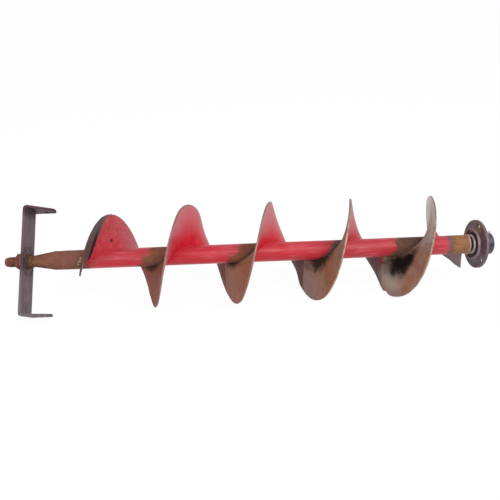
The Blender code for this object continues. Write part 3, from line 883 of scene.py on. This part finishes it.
def edge_browning(add, where):
    """Pinker edge on the first turns, grey over the top, and dark along the worn nose."""
    sweep, _, phase = flight_marks(add)
    pinker = add("MapRange", sweep, 1080.0, 980.0, 0.0, 0.75)
    nose = add("MapRange", sweep, 185.0, 150.0, 0.0, 0.9)
    top = window(add, phase, 0.18, 0.55, 0.04)
    return [("#8E6C6A", pinker), ("#6E5C5E", top, 0.65), ("#4A3C3B", nose)]


# Flighting

def swell(add, sweep, middle, half_width, amount):
    """Smooth rise to an amount at a middle sweep, with none past a half width from it."""
    apart = add("Math SUBTRACT", sweep, middle)
    apart = add("Math ABSOLUTE", apart)
    return add("MapRange SMOOTHSTEP", apart, half_width, 0.0, 0.0, amount)


def flight_ribbon(carry, push, rim):
    """Tree that bends a flat grid into one section of flighting, with thickness and three finishes."""
    tree, add, given = new_tree("flight_ribbon", (
        ("Start Sweep", "Float", 0.0), ("End Sweep", "Float", 360.0), ("Rows", "Int", 120),
        ("Columns", "Int", 13), ("Root Radius", "Float", flight_root_r), ("Outer Radius", "Float", flight_r),
        ("Pitch", "Float", flight_pitch), ("Thickness", "Float", flight_thickness),
    ))
    sheet = add("MeshGrid", 1.0, 1.0, given["Rows"], given["Columns"])
    spot = add("SeparateXYZ", add("InputPosition")).outputs
    sweep = add("MapRange", spot["X"], -0.5, 0.5, given["Start Sweep"], given["End Sweep"])
    share = add("MapRange", spot["Y"], -0.5, 0.5)

    # Outer edge: worn nose, cut back tail, small nibbles and a notch
    worn = add("MapRange", sweep, 0.0, nose_wear_sweep, flight_r - nose_wear, given["Outer Radius"])
    nose = add("MapRange SMOOTHSTEP", sweep, *nose_ramp, nose_radius, worn)
    left = add("Math SUBTRACT", flight_sweep, sweep)
    tail = add("MapRange SMOOTHSTEP", left, *tail_ramp, tail_radius, given["Outer Radius"])
    edge = add("Math MINIMUM", nose, tail)
    nibbles = add("TexNoise", sweep, 0.11, 4.0, noise_dimensions="1D")
    edge = add("Math MULTIPLY_ADD", nibbles, -edge_wear, edge)
    edge = add("Math SUBTRACT", edge, swell(add, sweep, *edge_notch))
    radius = add("MapRange", share, 0.0, 1.0, given["Root Radius"], edge)

    # Bends along the axis, and the skewed tail
    bent = add("MapRange", sweep, 0.0, nose_bend_sweep, 1.0, 0.0)
    bent = add("Math POWER", bent, 2.0)
    lift = add("Math MULTIPLY", bent, nose_bend)
    spread = add("Math POWER", share, 2.0)
    for bend in flight_bends:
        lift = add("Math MULTIPLY_ADD", swell(add, sweep, *bend), spread, lift)
    skew = add("MapRange", left, tail_skew_sweep, 0.0, 0.0, tail_skew)
    swept = add("Math MULTIPLY_ADD", skew, share, sweep)

    # Place on the helix
    angle = add("Math ADD", swept, flight_start_angle)
    angle = add("Math RADIANS", angle)
    turns = add("Math SUBTRACT", swept, flight_sweep)
    turns = add("Math DIVIDE", turns, 360.0)
    along = add("Math MULTIPLY_ADD", turns, given["Pitch"], lift)
    along = add("Math ADD", along, flight_end_x)
    front = add("Math MULTIPLY", radius, add("Math COSINE", angle))
    front = add("Math MULTIPLY", front, -1.0)
    height = add("Math MULTIPLY_ADD", radius, add("Math SINE", angle), axis_z)
    place = add("CombineXYZ", along, front, height)
    for name, value in (("sweep", sweep), ("share", share)):
        sheet = add("StoreNamedAttribute", Geometry=sheet, Name=name, Value=value)
    sheet = add("SetPosition", Geometry=sheet, Position=place)

    # Thickness: the sheet is the pushing side, and what is raised from it the carrying side and rim
    half = add("Math MULTIPLY", given["Thickness"], -0.5)
    back = add("VectorMath SCALE", add("InputNormal"), half)
    sheet = add("SetPosition", Geometry=sheet, Offset=back)
    raised = add("ExtrudeMesh", Mesh=sheet, Offset_Scale=given["Thickness"], Individual=False)
    both = add("JoinGeometry")
    for side in (add("FlipFaces", sheet), raised):
        tree.links.new(side.outputs[0], both.inputs[0])
    whole = add("MergeByDistance", both, Distance=merge_distance)
    whole = add("RealizeInstances", whole)
    whole = add("SetMaterial", whole, Material=push)
    whole = add("SetMaterial", whole, raised.outputs["Side"], rim)
    whole = add("SetMaterial", whole, raised.outputs["Top"], carry)
    add("NodeGroupOutput", whole)
    return tree


def make_flights(tree):
    degrees_per_row = 2.5
    for index in range(flight_sections):
        end = first_section_sweep + 360.0 * index
        start = max(0.0, end - 360.0) + (section_gap if index else 0.0)
        rows = int((end - start) / degrees_per_row) + 1
        obj = new_object(f"flight_skin_{index + 1}", bpy.data.meshes.new("flight_skin"))
        use_tree(obj, tree, {"Start Sweep": start, "End Sweep": end, "Rows": rows})
        soften(obj, edge_round)
        piece(obj, "auger", [f"flight_section_{index + 1}"])


# Weld beads

def weld_bead():
    """Tree that runs a rippled bead along a line of edges."""
    tree, add, given = new_tree("weld_bead", (
        ("Bead Radius", "Float", 2.5 * MM), ("Ripple", "Float", 4.0 * MM), ("Unevenness", "Float", 0.3),
        ("End Size", "Float", 0.3), ("Seed", "Int", 3), ("Material", "Material", None),
    ))
    line = add("MeshToCurve", Mesh=given["Geometry"])
    step = add("Math DIVIDE", given["Ripple"], 5.0)
    line = add("ResampleCurve", Curve=line, Length=step, mode="LENGTH")

    # Ripples, lumps and thinner ends
    length = add("SplineParameter").outputs["Length"]
    beats = add("Math DIVIDE", length, given["Ripple"])
    ripple = add("MapRange", add("Math FRACT", beats), 0.0, 1.0, 1.12, 0.85)
    seed = add("Math MULTIPLY", given["Seed"], 17.0)
    place = add("Math ADD", beats, seed)
    lumps = add("TexNoise", place, 0.45, 3.0, noise_dimensions="1D")
    lumps = add("Math SUBTRACT", lumps, 0.5)
    lumps = add("Math MULTIPLY_ADD", lumps, given["Unevenness"], ripple)
    whole = add("SplineLength").outputs["Length"]
    left = add("Math SUBTRACT", whole, length)
    from_end = add("Math MINIMUM", length, left)
    reach = add("Math MULTIPLY", given["Bead Radius"], 2.5)
    ends = add("MapRange SMOOTHSTEP", from_end, 0.0, reach, given["End Size"], 1.0)
    size = add("Math MULTIPLY", lumps, ends)

    line = add("SetCurveRadius", Curve=line, Radius=size)
    section = add("CurvePrimitiveCircle", Resolution=9, Radius=given["Bead Radius"])
    bead = add("CurveToMesh", Curve=line, Profile_Curve=section, Fill_Caps=True)
    bead = add("RealizeInstances", bead)
    add("NodeGroupOutput", add("SetMaterial", bead, Material=given["Material"]))
    return tree


def line_object(name, lines, closed):
    """Object of edges through each list of points."""
    verts = [point for line in lines for point in line]
    edges = []
    first = 0
    for line in lines:
        edges += [(first + i, first + i + 1) for i in range(len(line) - 1)]
        if closed:
            edges.append((first + len(line) - 1, first))
        first += len(line)
    mesh = bpy.data.meshes.new(name)
    mesh.from_pydata(verts, edges, [])
    return new_object(name, mesh)


def make_welds(tree):
    half = flight_thickness / 2
    root = tube_r + 0.2 * MM
    girth = 2 * math.pi * tube_r
    beside = (half + 0.6 * MM) * math.hypot(girth, flight_pitch) / girth
    step_sweep = 4.0
    stitch_steps = 11
    stitch_spacing = 30
    shortest_stitch = 6
    carry_line = []
    stitches = []
    for step in range(int(flight_sweep / step_sweep) - 2):
        sweep = step_sweep * (step + 2)
        angle = flight_start_angle + sweep
        carry_line.append(around(flight_x(sweep) + beside, root, angle))
        if step % stitch_spacing == 0:
            stitches.append([])
        if step % stitch_spacing < stitch_steps:
            stitches[-1].append(around(flight_x(sweep) - beside, root, angle))
    stitches = [stitch for stitch in stitches if len(stitch) >= shortest_stitch]

    seams = []
    for index in range(flight_sections - 1):
        sweep = first_section_sweep + 360.0 * index + section_gap / 2
        for side in (-1, 1):
            seam = []
            for i in range(41):
                share = 0.02 + 0.95 * i / 40
                x = flight_x(sweep) + side * (half - 0.3 * MM) + edge_shift(sweep) * share ** 2
                seam.append(around(x, tube_r + (flight_r - tube_r) * share, flight_start_angle + sweep))
            seams.append(seam)
    lump = [
        around(flight_x(0.0) - 4 * MM + 0.7 * MM * step, tube_r - 1 * MM, 3.2 * step - 4.0)
        for step in range(15)
    ]
    end_ring = [around(tube_end, tube_r + 0.1 * MM, 4.0 * i) for i in range(90)]

    # Name, lines, whether they close, bead radius in mm, unevenness, slot, finish
    runs = (
        ("carry_side_weld", [carry_line], False, 1.9, 0.2, "worn_red_paint", "red_enamel_over_weld"),
        ("push_side_stitch_welds", stitches, False, 2.6, 0.3, "rusty_steel", "greasy_weld_metal"),
        ("section_seam_welds", seams, False, 1.3, 0.3, "rusty_steel", "rusted_weld_metal"),
        ("nose_weld_lump", [lump], False, 4.4, 1.6, "rusty_steel", "dirt_caked_weld"),
        ("tube_end_weld", [end_ring], True, 2.4, 0.6, "rusty_steel", "paint_rubbed_weld"),
    )
    for seed, (name, lines, closed, radius, unevenness, slot, finish) in enumerate(runs):
        beads = use_tree(line_object(name, lines, closed), tree, {
            "Bead Radius": radius * MM, "Unevenness": unevenness, "Seed": seed + 2,
            "End Size": 1.0 if closed else 0.3, "Material": aged(finish),
        })
        piece(beads, "auger", [])


# Tube and shafts

def make_tube(material):
    profile = rounded(ring(tube_start, tube_end, tube_bore_r, tube_r), 0.8 * MM)
    turned_piece("auger_tube_skin", profile, "auger", "auger_tube", material, 128)


def make_shafts(material, drive_material):
    end, plug_end = along_axis("intake_stub_shaft")
    land_start = tube_start - intake_land
    cone_start = land_start - intake_cone
    thread_end = end + thread_length
    profile = [(end, 0.0)]
    for step in range(1, 6):
        turn = math.radians(90 - 15 * step)
        profile.append((end + 6 * MM * (1 - math.sin(turn)), thread_root_r * math.cos(turn) ** 0.5))
    profile += [
        (thread_end, thread_root_r), (thread_end + 1.2 * MM, journal_r), (cone_start, journal_r),
        (cone_start, cone_small_r), (land_start, land_r), (tube_start, land_r), (tube_start, tube_bore_r),
        (plug_end, tube_bore_r), (plug_end, 0.0),
    ]
    turned_piece("intake_shaft_skin", profile, "auger", "intake_stub_shaft", material)

    coil = []
    steps = 36
    half = thread_pitch * 0.42
    sunk = -0.4 * MM
    for i in range(int((thread_length - 9 * MM) / thread_pitch * steps)):
        x = end + 7 * MM + thread_pitch * i / steps
        crest = min(1.0, i / steps) * (journal_r - thread_root_r)
        shape = ((-half, sunk), (-half * 0.15, crest), (half * 0.15, crest), (half, sunk))
        coil.append([around(x + along, thread_root_r + out, 360.0 * i / steps) for along, out in shape])
    for row in (0, -1):
        middle = sum(coil[row], Vector()) / 4
        coil[row] = [middle] * 4
    obj = new_object("journal_thread", grid_mesh("journal_thread", coil, closed_across=True))
    piece(obj, "auger", [], material)

    low, high = along_axis("drive_stub_shaft")
    shoulder_end = tube_end + drive_shoulder
    profile = rounded([
        (low, 0.0), (low, tube_bore_r), (tube_end, tube_bore_r), (tube_end, drive_shoulder_r),
        (shoulder_end, drive_shoulder_r), (shoulder_end, drive_shaft_r), (high, drive_shaft_r), (high, 0.0),
    ], 1.5 * MM)
    turned_piece("drive_shaft_skin", profile, "auger", "drive_stub_shaft", drive_material)


# Nut, washer, bush and strap

def make_nut_and_washer(material):
    low, high = along_axis("shaft_nut")
    corner_r = nut_flat_r / math.cos(math.pi / 6)
    face_r = nut_flat_r * 0.96
    chamfer = 1.6 * MM

    def hexagon(radius, angle):
        """Radius of the hexagon at an angle, where the profile's radius doesn't cut it lower."""
        turn = math.radians((angle - nut_corner_angle) % 60.0 - 30.0)
        return min(radius, nut_flat_r / math.cos(turn)) if radius > nut_bore_r * 1.05 else radius

    profile = [
        (low, nut_bore_r), (low, face_r), (low + chamfer, corner_r), (high - chamfer, corner_r),
        (high, face_r), (high, nut_bore_r),
    ]
    obj = new_object("shaft_nut_skin", turned_mesh("shaft_nut_skin", profile, 120, hexagon))
    piece(obj, "auger", ["shaft_nut"], material)
    profile = rounded(ring(*along_axis("thrust_washer"), nut_bore_r, washer_r), 0.7 * MM)
    turned_piece("thrust_washer_skin", profile, "auger", "thrust_washer", material)


def make_bush_and_boss(boss_material, bush_material):
    low, high = along_axis("bush_housing")
    bore_r = bush_r + 0.1 * MM
    flange_end = along_axis("hanger_strap")[0] - 0.2 * MM
    profile = rounded([
        (low, bore_r), (low, boss_flange_r), (flange_end, boss_flange_r), (flange_end, boss_r),
        (high, boss_r), (high, bore_r),
    ], 1.4 * MM)
    turned_piece("bush_boss", profile, "hanger_bracket", "bush_housing", boss_material)
    profile = rounded(ring(*along_axis("bronze_bush"), journal_r + running_gap, bush_r), 0.8 * MM)
    turned_piece(
        "bronze_bush_skin", profile, "hanger_bracket", "bronze_bush", bush_material
    )


def make_strap(material):
    """Flat bar bent to a U, its legs tapered from one edge to a rounded tip."""
    back = along_axis("hanger_strap")[0] + strap_thickness / 2
    reach = strap_length / 2 - strap_thickness / 2
    bend = strap_bend_radius
    straight = strap_leg - strap_thickness / 2 - bend
    centre = Vector((0.0, 0.0, axis_z))

    # Half of the path, as distance from the middle, x, and length of leg
    half_path = [((reach - bend) * i / 8, back, 0.0) for i in range(9)]
    for step in range(1, 9):
        turn = math.pi / 2 * step / 8
        half_path.append((reach - bend + bend * math.sin(turn), back + bend * (1 - math.cos(turn)), 0.0))
    half_path += [(reach, back + bend + straight * i / 16, straight * i / 16) for i in range(1, 17)]
    path = [(-along, x, leg) for along, x, leg in reversed(half_path[1:])] + half_path
    rows = []
    for along, x, leg in path:
        taper = leg / (strap_leg - bend)
        near = -strap_width / 2 + (strap_width - strap_tip_width) * taper
        past = max(0.0, leg - (straight - strap_tip_round)) / strap_tip_round
        drawn = strap_tip_round * (1 - math.sqrt(max(0.0, 1 - past * past))) * 0.8
        width = strap_width / 2 - near - 2 * drawn
        middle = centre + strap_up * along + Vector((x, 0.0, 0.0))
        rows.append([middle + strap_side * (near + drawn + width * i / 8) for i in range(9)])
    obj = new_object("hanger_strap_skin", grid_mesh("hanger_strap_skin", rows))
    sheet = obj.modifiers.new("sheet", "SOLIDIFY")
    sheet.thickness = strap_thickness
    sheet.offset = 0.0
    sheet.use_even_offset = True
    settle(obj)

    cut(obj, turned_mesh("boss_hole", bar(back - strap_thickness, back + strap_thickness, boss_r)))
    hole_x = back - strap_thickness / 2 + strap_leg - strap_hole_from_tip
    hole_side = strap_width / 2 - strap_tip_width / 2 - strap_thickness / 2
    start = centre - strap_up * strap_length + strap_side * hole_side + Vector((hole_x, 0.0, 0.0))
    cut(obj, rod_mesh("leg_holes", bar(0.0, 2 * strap_length, strap_hole_r), 32, start, strap_up))
    soften(obj, 1.1 * MM, 3)
    piece(obj, "hanger_bracket", ["hanger_strap"], material)


# Bearing, collar and flange

def at_bearing(profile):
    """Profile moved from the bearing's middle to its place on the axis."""
    return [(bearing_x + x, r) for x, r in profile]


def make_bearing(steel, inner_steel, rubber):
    half = ring_half_width
    places = [-half + 2 * half * i / 10 for i in range(11)]
    profile = [(x, math.sqrt(ring_sphere_r ** 2 - x * x)) for x in places]
    profile = at_bearing(profile + [(half, outer_ring_bore_r), (-half, outer_ring_bore_r)])
    turned_piece("outer_ring_skin", profile, "bearing_outer", "bearing_outer_ring", steel)

    cam_end = inner_ring_front + cam_length
    profile = rounded(at_bearing([
        (-inner_ring_back, inner_ring_bore_r), (-inner_ring_back, inner_ring_r),
        (inner_ring_front, inner_ring_r), (inner_ring_front, cam_r), (cam_end, cam_r),
        (cam_end, inner_ring_bore_r),
    ]), 1.2 * MM)
    turned_piece("inner_ring_skin", profile, "auger", "bearing_inner_ring", inner_steel)

    for name, side in (("inner_seal", -1), ("outer_seal", 1)):
        face = side * (half - 0.6 * MM)
        sunk = face - side * 0.5 * MM
        line = [
            (face, outer_ring_bore_r - 0.4 * MM), (face, outer_ring_bore_r - 2 * MM),
            (sunk, outer_ring_bore_r - 3 * MM), (sunk, inner_ring_r + 2 * MM),
            (face, inner_ring_r + 0.4 * MM),
        ]
        profile = at_bearing(sheet_profile(line, 0.9 * MM))
        turned_piece(f"{name}_skin", profile, "bearing_outer", name, rubber)


def ball_ring():
    """Tree that sets balls evenly round a circle."""
    tree, add, given = new_tree("ball_ring", (
        ("Count", "Int", ball_count), ("Pitch Radius", "Float", ball_pitch_r),
        ("Ball Radius", "Float", ball_r), ("Material", "Material", None),
    ))
    circle = add("MeshCircle", Vertices=given["Count"], Radius=given["Pitch Radius"])
    ball = add("MeshUVSphere", Segments=24, Rings=16, Radius=given["Ball Radius"])
    balls = add("InstanceOnPoints", Points=circle, Instance=ball)
    across = (math.pi / 2, 0.0, math.pi / 2)
    balls = add("Transform", balls, Rotation=across, Translation=(bearing_x, 0.0, axis_z))
    balls = add("RealizeInstances", balls)
    add("NodeGroupOutput", add("SetMaterial", balls, Material=given["Material"]))
    return tree


def make_balls(steel):
    obj = new_object("bearing_balls", bpy.data.meshes.new("bearing_balls"))
    use_tree(obj, ball_ring(), {"Material": steel})
    nodes = [f"bearing_ball_{i + 1}" for i in range(ball_count)]
    piece(obj, "ball_set", nodes)


def make_collar(material):
    start = inner_ring_front + running_gap
    cam_end = inner_ring_front + cam_length + running_gap
    recess_r = cam_r + running_gap
    end = along_axis("locking_collar")[1] - bearing_x
    profile = rounded(at_bearing([
        (cam_end, inner_ring_bore_r), (cam_end, recess_r), (start, recess_r), (start, collar_r),
        (end, collar_r), (end, inner_ring_bore_r),
    ]), 1.4 * MM)
    collar = new_object("locking_collar_skin", turned_mesh("locking_collar_skin", profile, 120))
    line = (Vector((bearing_x + (cam_end + end) / 2, 0.0, axis_z)), outward(screw_angle))
    hole = bar(drive_shaft_r - 1 * MM, collar_r + 5 * MM, screw_hole_r)
    cut(collar, rod_mesh("screw_hole", hole, 32, *line))
    soften(collar, 0.5 * MM)
    piece(collar, "auger", ["locking_collar"], material)

    outer = collar_r - 1.5 * MM
    profile = rounded(bar(drive_shaft_r + running_gap, outer, screw_r), 0.6 * MM)
    screw = new_object("set_screw_skin", rod_mesh("set_screw_skin", profile, 32, *line))
    socket = bar(outer - screw_socket_depth, outer + screw_socket_depth, screw_socket_r)
    cut(screw, rod_mesh("screw_socket", socket, 6, *line))
    piece(screw, "auger", ["collar_set_screw"], material)


def make_flange(material):
    """Two pressed halves: flat rim, a step, and a lip that follows the bearing's ball seat."""
    flat = flange_sheet / 2 + 0.15 * MM
    face = flat + flange_sheet / 2
    seat = [math.radians(7.0 + 11.0 * i / 8) for i in range(9)]
    lip = [(flange_seat_r * math.sin(lean), flange_seat_r * math.cos(lean)) for lean in seat]
    root_x, root_r = lip[0]
    line = [(flat, r) for r in (flange_r, flange_bolt_circle_r, flange_flat_bore_r)]
    for i in range(1, 8):
        share = i / 8
        ease = share * share * (3 - 2 * share)
        radius = flange_flat_bore_r + (root_r - flange_flat_bore_r) * share
        line.append((flat + (root_x - flat) * ease, radius))
    sheet = sheet_profile(line + lip, flange_sheet)

    flare_r = flange_bolt_hole_r + flange_bolt_flare
    flare_start = face - 1.4 * MM
    half_hole = [(flare_start, flange_bolt_hole_r), (face, flare_r), (4 * face, flare_r), (4 * face, 0.0)]
    hole = [(-x, r) for x, r in reversed(half_hole)] + half_hole
    for name, side in (("inner_flange_half", -1), ("outer_flange_half", 1)):
        profile = at_bearing([(side * x, r) for x, r in sheet])
        obj = new_object(f"{name}_skin", turned_mesh(f"{name}_skin", profile, 120))
        for i in range(3):
            spot = around(bearing_x, flange_bolt_circle_r, flange_bolt_angle + 120.0 * i)
            cut(obj, rod_mesh("bolt_hole", hole, 32, spot, (1.0, 0.0, 0.0)))
        soften(obj, 0.7 * MM)
        piece(obj, "flange_housing", [name], material)


def make_grease_fitting(material):
    """Nipple with a hexagon, leaning out of the outer half's seat."""
    across = outward(fitting_angle)
    axis = Vector((1.0, 0.0, 0.0))
    seat, way = (
        across * math.cos(math.radians(lean)) + axis * math.sin(math.radians(lean))
        for lean in (fitting_seat_angle, fitting_lean)
    )
    root = Vector((bearing_x, 0.0, axis_z)) + seat * flange_seat_r
    profile = rounded([
        (0.0, 0.0), (0.0, 2.4 * MM), (7.2 * MM, 2.4 * MM), (12 * MM, 2.1 * MM), (13.3 * MM, 2.8 * MM),
        (14.6 * MM, 2.8 * MM), (16 * MM, 1.2 * MM), (16 * MM, 0.0),
    ], 0.5 * MM)
    nipple = new_object("grease_nipple", rod_mesh("grease_nipple", profile, 32, root, way))
    piece(nipple, "flange_housing", ["grease_fitting"], material)
    profile = bar(3.1 * MM, 7.1 * MM, 3.6 * MM)
    hexagon = new_object("grease_nipple_hexagon", rod_mesh("grease_nipple_hexagon", profile, 6, root, way))
    soften(hexagon, 0.35 * MM)
    piece(hexagon, "flange_housing", [], material)


# Floor, light and camera

def seen_directly(add):
    """Mask of the rays that see the background: from the camera, in gloss and through glass."""
    path = add("LightPath").outputs
    seen = path["Is Camera Ray"]
    for other in ("Is Glossy Ray", "Is Transmission Ray"):
        seen = add("Math MAXIMUM", seen, path[other])
    return seen


def make_floor():
    """Matt floor for the shadow, all but white where it is seen directly."""
    mesh = bpy.data.meshes.new("floor")
    bm = bmesh.new()
    bmesh.ops.create_grid(bm, x_segments=1, y_segments=1, size=60.0)
    bm.to_mesh(mesh)
    bm.free()
    floor = new_object("floor", mesh)
    floor.location.z = cad_low.z - 0.5 * MM
    material = bpy.data.materials.new("pale_floor")
    add = adder(material)
    matte = add("BsdfDiffuse", Color="#F4F4F4")
    white = add("Emission", Color="#FFFFFF", Strength=1.04)
    share = add("Math MULTIPLY", seen_directly(add), 0.9)
    add("OutputMaterial", add("MixShader", share, matte, white))
    floor.data.materials.append(material)


def make_light():
    """White surroundings that light less than they show, and three lamps turned to the auger's middle."""
    world = bpy.data.worlds.new("soft_studio")
    bpy.context.scene.world = world
    add = adder(world)
    dim = add("Background", Color="#FFFFFF", Strength=0.58)
    white = add("Background", Color="#FFFFFF", Strength=1.0)
    add("OutputWorld", add("MixShader", seen_directly(add), dim, white))
    lamps = (
        ("key", (1.0, -1.5, 2.1), 41.0, (2.0, 2.0)),
        ("fill", (-1.6, -1.5, 1.2), 4.0, (1.6, 1.6)),
        ("strip", (-0.45, -1.54, 1.56), 3.0, (1.3, 0.12)),
    )
    for name, place, power, size in lamps:
        lamp = bpy.data.lights.new(name, "AREA")
        lamp.energy = power
        lamp.shape = "RECTANGLE"
        lamp.size, lamp.size_y = size
        obj = new_object(name, lamp)
        obj.location = place
        obj.rotation_euler = (Vector((0.0, 0.0, axis_z)) - Vector(place)).to_track_quat("-Z", "Y").to_euler()


def make_camera():
    data = bpy.data.cameras.new("camera")
    data.lens = camera_lens
    data.sensor_width = sensor_width
    camera = new_object("camera", data)
    camera.location = camera_place
    camera.rotation_euler = [math.radians(angle) for angle in camera_turn]
    bpy.context.scene.camera = camera


bpy.context.scene.view_settings.view_transform = "Standard"
make_camera()
make_floor()
make_light()
ring_steel = aged("oiled_bearing_steel")
make_tube(tube_enamel())
make_flights(flight_ribbon(flight_enamel(), push_steel(), aged("browned_edge_steel", edge_browning)))
make_welds(weld_bead())
make_shafts(aged("rusted_shaft_steel"), aged("greasy_shaft_steel"))
make_nut_and_washer(aged("rusted_nut_steel"))
make_bush_and_boss(aged("oxidised_boss_steel", boss_grease), aged("sintered_bronze"))
make_strap(strap_steel())
make_bearing(ring_steel, aged("dirty_bearing_steel", ring_dirt_and_shade), aged("dusty_nitrile_rubber"))
make_balls(ring_steel)
make_collar(aged("blackened_collar_steel"))
make_flange(aged("greasy_pressed_steel", flange_wear))
make_grease_fitting(aged("dulled_zinc_plate"))
frame["nodes"]["ball_cage"].material_slots[0].material = ring_steel
